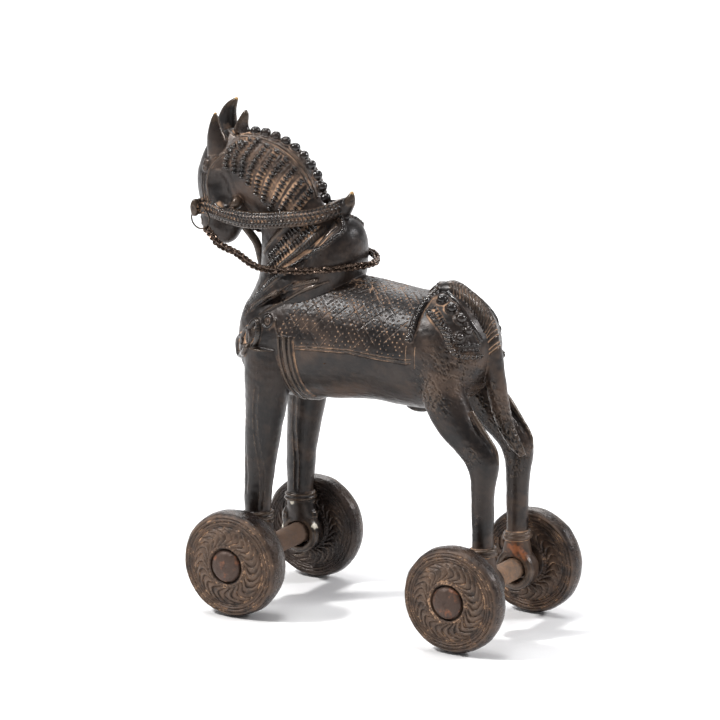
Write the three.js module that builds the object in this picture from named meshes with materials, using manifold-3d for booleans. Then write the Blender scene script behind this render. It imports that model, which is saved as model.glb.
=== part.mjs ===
// Toy horse on wheels, cast in bronze over a clay core: one hollow casting, two iron axles held
// in eyes under the hooves, four wheels with peened axle ends, two wire bit rings and a link chain.
// Millimetres, +Z up. The horse faces -X, its left side is -Y, and the wheels stand on Z = 0.
import * as THREE from 'three';
import { mergeVertices } from 'three/addons/utils/BufferGeometryUtils.js';
import Module from 'manifold-3d';

const wasm = await Module();
wasm.setup();

// ---- driving dimensions ----
const GAP = 0.3;                    // clearance between neighbouring pieces
const WHEELBASE = 130;
const WHEEL_R = 28;                 // to the flats of the tread
const WHEEL_W = 12.6;
const WHEEL_SIDES = 32;
const WHEEL_PLANE = 41.3;           // from the middle of the axle to the middle of a wheel
const HUB_FACE = 8.8;               // outer hub face, proud of the rim, from the middle of the wheel
const AXLE_SLIDE = -6.5;            // both axles rest pushed towards the horse's left
const AXLE_R = 5.7;
const JOURNAL_R = 4.6;              // reduced end that carries the wheel
const HEAD_R = 7.6;                 // peened head that keeps the wheel on
const HEAD_H = 3.4;
const RECESS_R = 9.2;               // dish in the hub round the peened head
const RECESS_DEPTH = 1.8;
const BORE_R = 4.9;
const DISH_R = 6.4;
const PLAIN_WHEEL = { inner: 0, outer: 0 };
const STOUT_WHEEL = { inner: 3.2, outer: 1.3 };  // the front left wheel was cast thicker
const EYE_BORE_R = 6.6;
const EYE_OUT_R = 11;
const EYE_W = 10.8;
const EYE_DROP = 0.4;               // the eyes hang this far below the axle's middle, resting on it
const EYE_REAM = 90;                // length of the reamer that opens both eyes of an axle in one pass
const FORE_EYE_Y = 21.4;
const HIND_EYE_Y = 18.5;
const WALL = 3.2;                   // thickness of the casting over the clay core
const PIN_R = 1.1;                  // iron pins that held the core in the mould
const PIN_X = -22.7;
const PIN_Z = 135.5;
const PIN_OUTER = 27.8;             // from the middle of the horse, flush with its flank
const PIN_INNER = 20;
const VENT_R = 3;                   // hole in the belly
const VENT_X = -10;
const VENT_LENGTH = 14;
const RING_R = 5.35;                // bit ring, to the middle of its wire
const RING_WIRE_R = 0.45;
const RING_AT = new THREE.Vector3(-105.5, 13, 198.6);
const RING_HOLE_ANGLE = THREE.MathUtils.degToRad(124);
const RING_HOLE_R = 1.7;
const RING_HOLE_LENGTH = 14;
const CHAIN_R = 2;                  // outside of the round links

const AXLE_Z = WHEEL_R;
const FRONT_X = -WHEELBASE / 2;
const REAR_X = WHEELBASE / 2;

// ---- materials ----
function metal(colour, roughness, metalness) {
  return new THREE.MeshStandardMaterial({ color: colour, roughness, metalness });
}
const bronze = metal(0x3c3430, 0.42, 0.9);
const wheelBronze = metal(0x5f4e3e, 0.55, 0.8);
const rustyIron = metal(0x6a4632, 0.75, 0.6);
const bronzeWire = metal(0x4a4644, 0.4, 1);
const chainBronze = metal(0x54473a, 0.4, 0.9);
const firedClay = metal(0xa88463, 0.95, 0);

// ---- solids: meshes to manifold-3d and back ----
function solid(geometry) {
  const bare = geometry.clone();
  bare.deleteAttribute('normal');
  bare.deleteAttribute('uv');
  const merged = mergeVertices(bare, 1e-4);
  const vertProperties = new Float32Array(merged.attributes.position.array);
  const triVerts = new Uint32Array(merged.index.array);
  return new wasm.Manifold(new wasm.Mesh({ numProp: 3, vertProperties, triVerts }));
}

function geometryOf(manifold) {
  const mesh = manifold.getMesh();
  const geometry = new THREE.BufferGeometry();
  geometry.setAttribute('position', new THREE.BufferAttribute(new Float32Array(mesh.vertProperties), 3));
  geometry.setIndex(new THREE.BufferAttribute(new Uint32Array(mesh.triVerts), 1));
  geometry.computeVertexNormals();
  return geometry;
}

function joined(geometries) {
  return geometries.map(solid).reduce((whole, piece) => whole.add(piece));
}

// ---- a limb through ribs ----
// A rib is [front x, front z, back x, back z, half width, middle y]: an oval whose long way runs from
// the front point to the back point in the XZ plane, and whose other way is along Y.
function limb(ribs, { along, around, side = 0 }) {
  const track = (k) => {
    const points = ribs.map((rib) => new THREE.Vector3(rib[k] ?? 0, rib[k + 1] ?? 0, 0));
    return new THREE.CatmullRomCurve3(points, false, 'catmullrom', 0.5);
  };
  const tracks = [track(0), track(2), track(4)];
  const positions = [];
  for (let i = 0; i <= along; i++) {
    const [front, back, across] = tracks.map((curve) => curve.getPoint(i / along));
    for (let k = 0; k < around; k++) {
      const angle = (2 * Math.PI * k) / around;
      const t = (1 - Math.cos(angle)) / 2;
      positions.push(
        front.x + (back.x - front.x) * t,
        side + across.y + across.x * Math.sin(angle),
        front.y + (back.y - front.y) * t,
      );
    }
  }
  const first = positions.length / 3;
  for (const ring of [0, along]) {
    const middle = new THREE.Vector3();
    for (let k = 0; k < around; k++) {
      middle.add(new THREE.Vector3().fromArray(positions, (ring * around + k) * 3));
    }
    positions.push(...middle.divideScalar(around).toArray());
  }
  const index = [];
  for (let i = 0; i < along; i++) {
    for (let k = 0; k < around; k++) {
      const a = i * around + k;
      const b = i * around + ((k + 1) % around);
      index.push(a, b, b + around, a, b + around, a + around);
    }
  }
  for (let k = 0; k < around; k++) {
    const next = (k + 1) % around;
    index.push(first, next, k);
    index.push(first + 1, along * around + k, along * around + next);
  }
  const geometry = new THREE.BufferGeometry();
  geometry.setAttribute('position', new THREE.BufferAttribute(new Float32Array(positions), 3));
  geometry.setIndex(index);
  return outward(geometry);
}

// Turns a closed mesh's faces round if it encloses a negative volume.
function outward(geometry) {
  const p = geometry.attributes.position;
  const index = geometry.index.array;
  const corners = [0, 1, 2].map(() => new THREE.Vector3());
  let volume = 0;
  for (let i = 0; i < index.length; i += 3) {
    corners.forEach((corner, k) => corner.fromBufferAttribute(p, index[i + k]));
    volume += corners[0].dot(corners[1].clone().cross(corners[2]));
  }
  if (volume < 0) {
    for (let i = 0; i < index.length; i += 3) {
      const keep = index[i];
      index[i] = index[i + 1];
      index[i + 1] = keep;
    }
  }
  return geometry;
}

function inset(ribs, by) {
  return ribs.slice(1, -1).map(([fx, fz, bx, bz, half, mid = 0]) => {
    const length = Math.hypot(bx - fx, bz - fz);
    const [ux, uz] = [(bx - fx) / length, (bz - fz) / length];
    return [fx + ux * by, fz + uz * by, bx - ux * by, bz - uz * by, half - by, mid];
  });
}

function ball(radius, x, y, z, scale = [1, 1, 1], segments = 10) {
  const geometry = new THREE.SphereGeometry(radius, segments, Math.round(segments * 0.6));
  return geometry.scale(...scale).translate(x, y, z);
}

// A cylinder along Y.
function bar(radius, length, x, y, z, sides) {
  return new THREE.CylinderGeometry(radius, radius, length, sides).translate(x, y, z);
}

// A closed tube of a flat or round section along a curve.
function strap(points, halfThick, halfTall, steps, sides) {
  const curve = new THREE.CatmullRomCurve3(points, false, 'centripetal');
  const shape = new THREE.Shape();
  shape.absellipse(0, 0, halfThick, halfTall, 0, 2 * Math.PI);
  const options = { steps, curveSegments: sides / 2, extrudePath: curve, bevelEnabled: false };
  return new THREE.ExtrudeGeometry(shape, options);
}

// ---- the horse's body, rib by rib ----
const TORSO = [
  [-84.5, 131, -84.5, 147, 6],
  [-82.5, 123, -83, 154, 13],
  [-77, 114.5, -78, 162, 20.5],
  [-66, 110.5, -66, 170, 26],
  [-50, 108.5, -50, 174, 28.5],
  [-30, 110, -30, 176, 28.8],
  [-8, 112.7, -8, 175, 28.2],
  [10, 111.8, 10, 173, 27.5],
  [24, 111.6, 24, 172.8, 27.5],
  [36, 114, 36, 175, 27.5],
  [46, 119, 46, 172, 25],
  [53.5, 126, 53.5, 164.5, 20],
  [58.5, 134, 58.5, 156.5, 13],
  [60.5, 140, 60.5, 151, 6],
];
const COLLAR = [
  [-76, 150, -20, 168, 22],
  [-76, 158, -16.5, 178, 22.5],
  [-74, 167, -15.5, 188, 21],
  [-70, 176, -16, 195.5, 18.5],
  [-65, 183, -18.5, 201.5, 15],
  [-58, 188, -23, 205, 11.5],
  [-50, 192, -29, 206, 7],
];
const NECK = [
  [-84, 146, -26, 186, 24],
  [-82, 155, -28.5, 198, 20],
  [-76.2, 168, -34.4, 207.6, 16],
  [-74.8, 180, -39.2, 215.8, 13.8],
  [-75, 192, -42.8, 224.4, 12.8],
  [-78.5, 200, -49, 233, 12.2],
  [-83.5, 204.5, -58.5, 239.4, 12],
  [-89.5, 207.5, -68.5, 243, 12],
  [-96, 212, -78.5, 244.3, 11.5],
  [-102, 220, -87.5, 243.6, 9.5],
];
const HEAD = [
  [-95.5, 245, -77, 237.5, 6],
  [-105, 239, -77.5, 225.5, 11],
  [-110, 231.8, -79.5, 213.5, 12.5],
  [-113.5, 222.6, -81.5, 203.5, 12.2],
  [-114, 215, -85.5, 197.3, 10.6],
  [-112.6, 207.3, -89, 191.5, 9],
  [-112.2, 200, -92, 186.6, 8.2],
  [-111, 192.8, -95.5, 184.2, 7],
  [-107, 187.4, -100, 183.8, 4.2],
];
const FORELEG = [
  [-73.2, 138, -48, 138, 9.5],
  [-73, 122, -48.6, 118, 10],
  [-72.8, 107, -51, 104, 9.5],
  [-72.9, 91, -54, 89, 8.7],
  [-73.3, 74, -56.9, 74, 7.7],
  [-73.6, 60, -58.6, 60, 6.8],
  [-73.4, 50, -59.6, 50, 6.2],
  [-73.6, 42, -58, 42, 6],
  [-74.4, 34, -56, 34, 5.6],
  [-73.4, 28, -56.6, 28, 5.4],
];
const HIND_LEG = [
  [30, 142, 50, 152, 8],
  [29.4, 126, 52, 132, 9.4],
  [34, 114.4, 56.5, 119.5, 9.4],
  [41.2, 104.2, 62, 109.5, 8.4],
  [49, 97, 69.6, 101.6, 7.2],
  [54.8, 91.4, 73.2, 94.6, 6.5],
  [57.8, 85, 73, 87, 6.1],
  [58.8, 76, 71, 77, 5.8],
  [59, 63, 70.4, 63, 5.6],
  [59.4, 51, 70.2, 51, 5.7],
  [58.4, 42, 71.4, 42, 5.7],
  [56.6, 34, 73.2, 34, 5.5],
  [57.6, 28, 72.4, 28, 5.3],
];
const TAIL = [
  [22, 170, 27, 176.5, 3],
  [32, 170, 37, 179.6, 5.5],
  [41, 166, 46, 176, 5.8],
  [48.5, 158, 55, 169.8, 5.8],
  [52.5, 149, 60.6, 160.6, 5.6],
  [55, 139, 64, 148.5, 5.5],
  [56.5, 128, 66.2, 135, 5.3, 0.5],
  [58.6, 115.5, 68, 120.5, 4.9, 1.5],
  [62.6, 104, 70, 109, 4.3, 3],
  [67.5, 96, 73, 100, 3.2, 4.5],
  [73, 90, 75.6, 92, 1.6, 6.5],
];
const NEAR_EAR = [
  [-103.5, 231, -92, 233.5, 4],
  [-104, 237, -92.6, 240, 3.8],
  [-103.4, 244, -95.4, 246.5, 3],
  [-101.8, 250, -97, 251.3, 2],
  [-99.8, 254, -98.6, 254.3, 0.8],
];
const FAR_EAR = [
  [-105.5, 236, -94.5, 238, 4],
  [-107.4, 244, -96, 246.5, 3.8],
  [-105.6, 251, -96.4, 252.6, 3],
  [-101.8, 256.2, -95.6, 256.8, 2],
  [-96.2, 259.8, -95, 259, 0.8],
];
const FORELOCK = [
  [-93, 243, -83.5, 244, 3],
  [-91.4, 247.5, -84.3, 248, 2.6],
  [-88, 253, -84, 253, 1.8],
  [-86, 255.4, -84.8, 255.2, 0.8],
];
const EAR_Y = 8;

const REIN_HALF = { tall: 4.6, thick: 1.9 };
const REIN = [
  [-108, 7.5, 203.4], [-101, 9, 203.6], [-90, 12.6, 202.6], [-76, 15.2, 202.3], [-62, 16, 203.8],
  [-48, 15.8, 206], [-37.5, 12.4, 207.4], [-30.5, 7, 209.6], [-27, 0, 211.4],
];
const HORN = [
  [-34, 209, -26, 203.5, 4.5],
  [-31.5, 212, -23, 207.5, 4.2],
  [-27.5, 214.5, -20.8, 212.5, 3.4],
  [-25, 217, -20.8, 216.3, 2.4],
  [-23, 219.6, -21.6, 219.4, 0.9],
];
const THROAT_HALF = { wide: 2.3, thick: 1.8 };
const THROAT_STRAP = [[-88, 0, 196], [-84, 0, 191.5], [-79.6, 0, 186.4], [-77.4, 0, 180], [-75.8, 0, 172]];
const NOSE_ROLL = { radius: 4.7, length: 31, squeeze: 0.52, x: -108.6, z: 203.9 };
const SHEATH = { radius: 4, x: 17.5, z: 111.6, scale: [2, 1, 0.85] };
// Round beads along the crest of the neck, on an arc from low on the neck to the poll.
const MANE = { x: -77.5, z: 204.3, radius: 40.6, bead: 2.7, count: 11, from: 14, sweep: 88 };

// The chain hooks on the left ring, hangs to the collar, passes behind it and returns to the right ring.
const CHAIN_ROUTE = [
  [-101.4, -13.3, 193.3], [-97.2, -14.4, 190.3], [-92.4, -15.6, 186.7], [-81.4, -17.5, 184],
  [-73, -19.5, 180.6], [-66.3, -20.2, 178.6], [-59, -21.4, 178.4], [-50, -22.7, 179.2],
  [-40, -22.9, 180.2], [-32, -21.4, 181], [-24.8, -18.4, 181.7], [-18.2, -13.9, 182.5],
  [-13, -8.6, 183], [-10.2, -3.2, 183.1], [-10, 2.4, 183.4], [-12.6, 8.4, 184], [-17.8, 14.2, 184.4],
  [-25.4, 19.4, 184.2], [-34.6, 22.2, 183.4], [-45, 22.6, 182.4], [-56, 21.8, 182], [-66, 19.8, 183.4],
  [-74.5, 17.6, 186.2], [-82, 16, 188.4], [-89, 14.6, 190.4], [-95.6, 13.8, 191.9], [-101.4, 13.3, 193.3],
];

function mirrored(points, side) {
  return points.map(([x, y, z]) => new THREE.Vector3(x, y * side, z));
}

function mane() {
  return Array.from({ length: MANE.count }, (_, i) => {
    const angle = THREE.MathUtils.degToRad(MANE.from + (MANE.sweep * i) / (MANE.count - 1));
    return ball(MANE.bead, MANE.x + MANE.radius * Math.cos(angle), 0, MANE.z + MANE.radius * Math.sin(angle));
  });
}

function leg(ribs, x, y, side) {
  const options = { along: ribs.length + 3, around: 12, side: y * side };
  return [limb(ribs, options), bar(EYE_OUT_R, EYE_W, x, y * side, AXLE_Z - EYE_DROP, 20)];
}

function noseRoll() {
  const roll = bar(NOSE_ROLL.radius, NOSE_ROLL.length, 0, 0, 0, 16);
  return roll.scale(NOSE_ROLL.squeeze, 1, 1).translate(NOSE_ROLL.x, 0, NOSE_ROLL.z);
}

function horseCasting() {
  const outside = [
    limb(TORSO, { along: 20, around: 24 }),
    limb(COLLAR, { along: 8, around: 20 }),
    limb(NECK, { along: 14, around: 18 }),
    limb(HEAD, { along: 12, around: 16 }),
    limb(TAIL, { along: 18, around: 10 }),
    limb(NEAR_EAR, { along: 6, around: 8, side: -EAR_Y }),
    limb(FAR_EAR, { along: 7, around: 8, side: EAR_Y }),
    limb(FORELOCK, { along: 4, around: 8 }),
    noseRoll(),
    ...mane(),
    limb(HORN, { along: 7, around: 8 }),
    strap(mirrored(THROAT_STRAP, 1), THROAT_HALF.wide, THROAT_HALF.thick, 8, 8),
    ball(SHEATH.radius, SHEATH.x, 0, SHEATH.z, SHEATH.scale),
  ];
  for (const side of [-1, 1]) {
    outside.push(...leg(FORELEG, FRONT_X, FORE_EYE_Y, side));
    outside.push(...leg(HIND_LEG, REAR_X, HIND_EYE_Y, side));
    outside.push(strap(mirrored(REIN, side), REIN_HALF.tall, REIN_HALF.thick, 22, 8));
  }
  const cavity = limb(inset(TORSO, WALL), { along: 16, around: 20 });
  const vent = new THREE.CylinderGeometry(VENT_R, VENT_R, VENT_LENGTH, 16).rotateX(Math.PI / 2);
  const bellyZ = TORSO[6][1];
  vent.translate(VENT_X, 0, bellyZ);
  let body = joined(outside).subtract(solid(cavity)).subtract(solid(vent));
  for (const x of [FRONT_X, REAR_X]) {
    body = body.subtract(solid(bar(EYE_BORE_R, EYE_REAM, x, 0, AXLE_Z - EYE_DROP, 24)));
  }
  for (const side of [-1, 1]) {
    body = body.subtract(solid(pinAlongY(PIN_R + GAP, 4, side)));
    body = body.subtract(solid(ringHole(side)));
  }
  return geometryOf(body);
}

// A core pin, or with a larger radius and some extra length the hole it sits in.
function pinAlongY(radius, extra, side) {
  const [outer, inner] = [PIN_OUTER + extra, PIN_INNER - extra];
  return bar(radius, outer - inner, PIN_X, (side * (outer + inner)) / 2, PIN_Z, 12);
}

function ringHole(side) {
  const hole = new THREE.CylinderGeometry(RING_HOLE_R, RING_HOLE_R, RING_HOLE_LENGTH, 14);
  hole.rotateZ(RING_HOLE_ANGLE).rotateX(Math.PI / 2);
  return hole.translate(
    RING_AT.x + RING_R * Math.cos(RING_HOLE_ANGLE),
    RING_AT.y * side,
    RING_AT.z + RING_R * Math.sin(RING_HOLE_ANGLE),
  );
}

function clayCore() {
  let core = solid(limb(inset(TORSO, WALL + GAP), { along: 16, around: 20 }));
  for (const side of [-1, 1]) {
    core = core.subtract(solid(pinAlongY(PIN_R + GAP, 1, side)));
  }
  return geometryOf(core);
}

// ---- wheels, axles, rings and chain ----
// The profile from the bore, over the inner face, the tread and the outer face, back to the bore.
// A stouter wheel stands further in, where it is dished to clear the axle's shoulder.
function wheelProfile({ inner, outer }) {
  const back = -WHEEL_W / 2;
  const dish = inner > 0 ? [[DISH_R, back], [DISH_R, back - inner]] : [];
  return [
    [BORE_R, back], ...dish, [9, back - inner], [11, -5.6 - inner], [21.5, -5.4 - inner],
    [24, back - inner], [26.6, -5.2 - inner], [WHEEL_R, -2.6 - inner], [WHEEL_R, 2.6 + outer],
    [26.6, 4.9 + outer], [24, 6.4 + outer / 2], [21, 6.3], [12.5, 7.9], [RECESS_R, HUB_FACE],
    [RECESS_R, HUB_FACE - RECESS_DEPTH], [BORE_R, HUB_FACE - RECESS_DEPTH], [BORE_R, back],
  ];
}

function wheel(build) {
  const toFlats = 1 / Math.cos(Math.PI / WHEEL_SIDES);
  const profile = wheelProfile(build).map(([r, y]) => new THREE.Vector2(r * toFlats, y));
  const geometry = new THREE.LatheGeometry(profile, WHEEL_SIDES).rotateY(Math.PI / WHEEL_SIDES);
  return geometryOf(solid(geometry));
}

function axle() {
  const head = WHEEL_PLANE + HUB_FACE - RECESS_DEPTH + GAP;
  const shoulder = WHEEL_PLANE - WHEEL_W / 2 - GAP;
  const half = [
    [0, head + HEAD_H], [HEAD_R * 0.55, head + HEAD_H * 0.88], [HEAD_R * 0.88, head + HEAD_H * 0.6],
    [HEAD_R, head + HEAD_H * 0.25], [HEAD_R, head], [JOURNAL_R, head], [JOURNAL_R, shoulder],
    [AXLE_R, shoulder],
  ];
  const other = half.map(([r, y]) => [r, -y]).reverse();
  const profile = [...half, ...other].map(([r, y]) => new THREE.Vector2(r, y)).reverse();
  return geometryOf(solid(new THREE.LatheGeometry(profile, 24)));
}

function bitRing() {
  return geometryOf(solid(new THREE.TorusGeometry(RING_R, RING_WIRE_R, 6, 20).rotateX(Math.PI / 2)));
}

function reinChain() {
  const route = CHAIN_ROUTE.map((point) => new THREE.Vector3(...point));
  return geometryOf(solid(strap(route, CHAIN_R, CHAIN_R, 44, 8)));
}

// ---- assembly ----
function named(name, geometry, material, x = 0, y = 0, z = 0) {
  const mesh = new THREE.Mesh(geometry, material);
  mesh.name = name;
  mesh.position.set(x, y, z);
  return mesh;
}

const horse = new THREE.Group();
horse.add(named('horse_casting', horseCasting(), bronze));
horse.add(named('clay_core', clayCore(), firedClay));
for (const [sideName, side] of [['left', -1], ['right', 1]]) {
  horse.add(named(`core_pin_${sideName}`, geometryOf(solid(pinAlongY(PIN_R, 0, side))), rustyIron));
  horse.add(named(`bit_ring_${sideName}`, bitRing(), bronzeWire, RING_AT.x, side * RING_AT.y, RING_AT.z));
}
for (const [endName, x] of [['front', FRONT_X], ['rear', REAR_X]]) {
  const running = new THREE.Group();
  running.position.set(x, AXLE_SLIDE, AXLE_Z);
  running.add(named(`${endName}_axle`, axle(), rustyIron));
  for (const [sideName, side] of [['left', -1], ['right', 1]]) {
    const name = `wheel_${endName}_${sideName}`;
    const build = name === 'wheel_front_left' ? STOUT_WHEEL : PLAIN_WHEEL;
    const turned = named(name, wheel(build), wheelBronze, 0, side * WHEEL_PLANE, 0);
    turned.rotation.x = side < 0 ? Math.PI : 0;
    running.add(turned);
  }
  horse.add(running);
}

// The origin is under the middle of the horse and its wheels, measured without the loose chain.
const middle = new THREE.Box3().setFromObject(horse).getCenter(new THREE.Vector3());
horse.position.set(-middle.x, -middle.y, 0);
horse.add(named('rein_chain', reinChain(), chainBronze));

const statuette = new THREE.Group();
statuette.add(horse);
export default statuette;
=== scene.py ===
"""Bronze toy horse on wheels, a lost-wax casting with loose wheels, bit rings and a rein chain.

Shapes are written in millimetres in the horse's own frame, which has its middle at x = 0, y = 0 halfway
between the axles. The horse faces -x, its left side is -y and the wheels stand on z = 0.
"""

import math

import bpy
import numpy as np
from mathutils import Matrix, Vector
from mathutils.bvhtree import BVHTree
from mathutils.kdtree import KDTree


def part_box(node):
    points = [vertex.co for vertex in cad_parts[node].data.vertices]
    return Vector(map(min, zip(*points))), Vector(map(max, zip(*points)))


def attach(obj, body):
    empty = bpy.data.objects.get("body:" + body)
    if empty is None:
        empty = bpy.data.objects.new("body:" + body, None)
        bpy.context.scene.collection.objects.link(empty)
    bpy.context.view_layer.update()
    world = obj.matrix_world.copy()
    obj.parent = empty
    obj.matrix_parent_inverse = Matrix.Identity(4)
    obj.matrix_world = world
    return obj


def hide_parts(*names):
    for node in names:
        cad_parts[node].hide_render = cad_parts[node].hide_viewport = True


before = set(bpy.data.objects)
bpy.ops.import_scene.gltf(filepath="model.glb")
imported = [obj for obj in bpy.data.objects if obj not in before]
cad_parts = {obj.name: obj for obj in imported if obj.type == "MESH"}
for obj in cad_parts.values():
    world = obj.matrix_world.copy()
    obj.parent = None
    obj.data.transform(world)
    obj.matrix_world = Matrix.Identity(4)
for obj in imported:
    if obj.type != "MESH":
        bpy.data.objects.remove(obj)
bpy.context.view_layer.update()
RNG = np.random.default_rng(7)
MM = 0.001


def middle(node):
    lo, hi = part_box(node)
    return (np.array(lo) + np.array(hi)) / 2


FRONT_AXLE, REAR_AXLE = middle("front_axle"), middle("rear_axle")
ORIGIN = np.array([(FRONT_AXLE[0] + REAR_AXLE[0]) / 2, middle("horse_casting")[1], 0.0])
AXLE_Z = FRONT_AXLE[2] / MM
FRONT_X = (FRONT_AXLE[0] - ORIGIN[0]) / MM
REAR_X = -FRONT_X


def row(points):
    """Millimetres in the horse's frame to metres in the row frame."""
    return np.asarray(points, float) * MM + ORIGIN


# ---- camera ----
TURN, RISE, AWAY, LENS = math.radians(30), math.radians(14.1), 2.6, 253.5
AIM, AIM_RIGHT, AIM_UP = [-5, 0, 130], -0.01103, 0.00272


def add_camera():
    back = np.array([math.sin(TURN) * math.cos(RISE), -math.cos(TURN) * math.cos(RISE), math.sin(RISE)])
    right = np.array([math.cos(TURN), math.sin(TURN), 0.0])
    aim = row(AIM) + AIM_RIGHT * right + AIM_UP * np.cross(back, right)
    data = bpy.data.cameras.new("camera")
    data.lens = LENS
    data.clip_start, data.clip_end = 0.1, 20
    camera = bpy.data.objects.new("camera", data)
    camera.location = aim + AWAY * back
    camera.rotation_mode = "QUATERNION"
    camera.rotation_quaternion = Vector(back).to_track_quat("Z", "Y")
    bpy.context.scene.collection.objects.link(camera)
    bpy.context.scene.camera = camera


add_camera()


# ---- meshes from numbers ----
def mesh_object(name, verts, faces):
    mesh = bpy.data.meshes.new(name)
    mesh.from_pydata(np.asarray(verts).tolist(), [], faces)
    mesh.update()
    made = bpy.data.objects.new(name, mesh)
    bpy.context.scene.collection.objects.link(made)
    return made


def set_smooth(piece):
    piece.data.polygons.foreach_set("use_smooth", np.ones(len(piece.data.polygons), bool))
    piece.data.update()


def float_layer(mesh, name, values):
    """A painted layer from 0 to 1 on the mesh's vertices."""
    layer = mesh.attributes.new(name, "FLOAT", "POINT")
    layer.data.foreach_set("value", np.clip(values, 0, 1).astype(np.float32))


class Shape:
    """Vertices and faces gathered from several closed forms."""

    def __init__(self):
        self.verts, self.faces, self.count = [], [], 0

    def add(self, verts, faces):
        self.verts.append(np.asarray(verts, float))
        self.faces.extend([tuple(i + self.count for i in f) for f in faces])
        self.count += len(verts)
        return self

    def points(self):
        return np.vstack(self.verts)

    def object(self, name):
        return mesh_object(name, row(self.points()), self.faces)


def round_angles(count, closed=False):
    """Angles once round. The first comes again at the end when closed."""
    return np.linspace(0, 2 * math.pi, count, endpoint=closed)


def grid_faces(rows, columns):
    """Faces of a grid that closes on itself both ways."""
    i, k = np.meshgrid(np.arange(rows), np.arange(columns), indexing="ij")
    j, m = (i + 1) % rows, (k + 1) % columns
    corners = [i * columns + k, i * columns + m, j * columns + m, j * columns + k]
    return np.stack(corners, -1).reshape(-1, 4).tolist()


def spline(points, t):
    """Uniform Catmull-Rom through the points, at t from 0 to 1."""
    p = np.asarray(points, float)
    ends = [2 * p[0] - p[1]], [2 * p[-1] - p[-2]]
    q = np.vstack([ends[0], p, ends[1]])
    at = np.clip(np.asarray(t, float), 0, 1) * (len(p) - 1)
    i = np.minimum(at.astype(int), len(p) - 2)
    u = (at - i)[:, None]
    a, b, c, d = q[i], q[i + 1], q[i + 2], q[i + 3]
    return 0.5 * (2 * b + (c - a) * u + (2 * a - 5 * b + 4 * c - d) * u**2 + (3 * b - a - 3 * c + d) * u**3)


def evenly(points, step):
    """The spline through the points, resampled about every step."""
    fine = spline(points, np.linspace(0, 1, 40 * len(points)))
    run = np.concatenate([[0], np.cumsum(np.linalg.norm(np.diff(fine, axis=0), axis=1))])
    n = max(2, int(round(run[-1] / step)) + 1)
    s = np.linspace(0, run[-1], n)
    return np.stack([np.interp(s, run, fine[:, k]) for k in range(fine.shape[1])], 1)


def loft(rings):
    """A closed form through rings of points, capped at both ends by a middle point."""
    n, m = len(rings), len(rings[0])
    verts = np.vstack([*rings, rings[0].mean(0)[None], rings[-1].mean(0)[None]])
    faces = grid_faces(n, m)[: (n - 1) * m]
    faces += [(n * m, (k + 1) % m, k) for k in range(m)]
    faces += [(n * m + 1, (n - 1) * m + k, (n - 1) * m + (k + 1) % m) for k in range(m)]
    return verts, faces


def limb(ribs, side=0.0, around=40):
    """A form through ribs: [front x, front z, back x, back z, half width, middle y]."""
    ribs = np.array([list(r) + [0.0] * (6 - len(r)) for r in ribs], float)
    a = round_angles(around)
    t, s = (1 - np.cos(a)) / 2, np.sin(a)
    return loft([
        np.stack([r[0] + (r[2] - r[0]) * t, side + r[5] + r[4] * s, r[1] + (r[3] - r[1]) * t], 1)
        for r in spline(ribs, np.linspace(0, 1, 8 * len(ribs)))
    ])


def frames(path, up=None):
    """Tangent, side and up vectors along a path, turning as little as possible."""
    tangent = np.gradient(path, axis=0)
    tangent /= np.linalg.norm(tangent, axis=1)[:, None]
    if up is None:
        up = [np.array([0, 0, 1.0]) if abs(tangent[0][2]) < 0.9 else np.array([1.0, 0, 0])]
        for i in range(1, len(path)):
            v = up[-1] - tangent[i] * (up[-1] @ tangent[i])
            up.append(v / np.linalg.norm(v))
        up[0] = up[0] - tangent[0] * (up[0] @ tangent[0])
        up = np.array(up)
    up = up - tangent * (up * tangent).sum(1)[:, None]
    up /= np.linalg.norm(up, axis=1)[:, None]
    return tangent, np.cross(up, tangent), up


def tube(path, wide, tall, up=None, sides=10):
    """A tube of oval section: wide across the path, tall along up. Both may vary along it."""
    path = np.asarray(path, float)
    _, across, up = frames(path, up)
    wide, tall = np.broadcast_to(wide, len(path)), np.broadcast_to(tall, len(path))
    a = round_angles(sides)
    rings = [
        path[i] + np.outer(np.cos(a) * wide[i], across[i]) + np.outer(np.sin(a) * tall[i], up[i])
        for i in range(len(path))
    ]
    return loft(rings)


def ball(centre, size, axes=None, rings=8, sides=12):
    """An ellipsoid. size is its three radii along axes."""
    axes = np.eye(3) if axes is None else np.asarray(axes, float)
    size = np.broadcast_to(size, 3)
    b = np.linspace(0, math.pi, rings + 1)[1:-1]
    a = round_angles(sides)
    unit = [np.stack([np.sin(t) * np.cos(a), np.sin(t) * np.sin(a), np.full(sides, np.cos(t))], 1) for t in b]
    verts, faces = loft(unit)
    verts[-2], verts[-1] = [0, 0, 1], [0, 0, -1]
    return np.asarray(centre) + (verts * size) @ axes, faces


def spun(profile, steps, y=0.0, x=0.0, z=0.0):
    """A closed solid turned about an axis along Y. The profile is closed: (radius, y)."""
    profile = np.asarray(profile, float)
    r, out = profile[:, 0], y + profile[:, 1]
    turns = [np.stack([x + r * math.cos(t), out, z + r * math.sin(t)], 1) for t in round_angles(steps)]
    return np.vstack(turns), grid_faces(steps, len(profile))


# ---- noise, the same each run ----
def noise(points, size, seed=0, octaves=3):
    """Smooth noise from -1 to 1 at points, from sums of turned waves."""
    points = np.asarray(points, float)
    rng = np.random.default_rng(seed)
    total, weight = np.zeros(len(points)), 0.0
    for octave in range(octaves):
        scale = 2 * math.pi / size * 1.9**octave
        part = np.zeros(len(points))
        for _ in range(7):
            d = rng.normal(size=3)
            d *= scale / np.linalg.norm(d) * rng.uniform(0.6, 1.4)
            part += np.sin(points @ d + rng.uniform(0, 2 * math.pi))
        total += part / 7**0.5 * 0.6**octave
        weight += 0.6**octave
    return np.tanh(total / weight)


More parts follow.
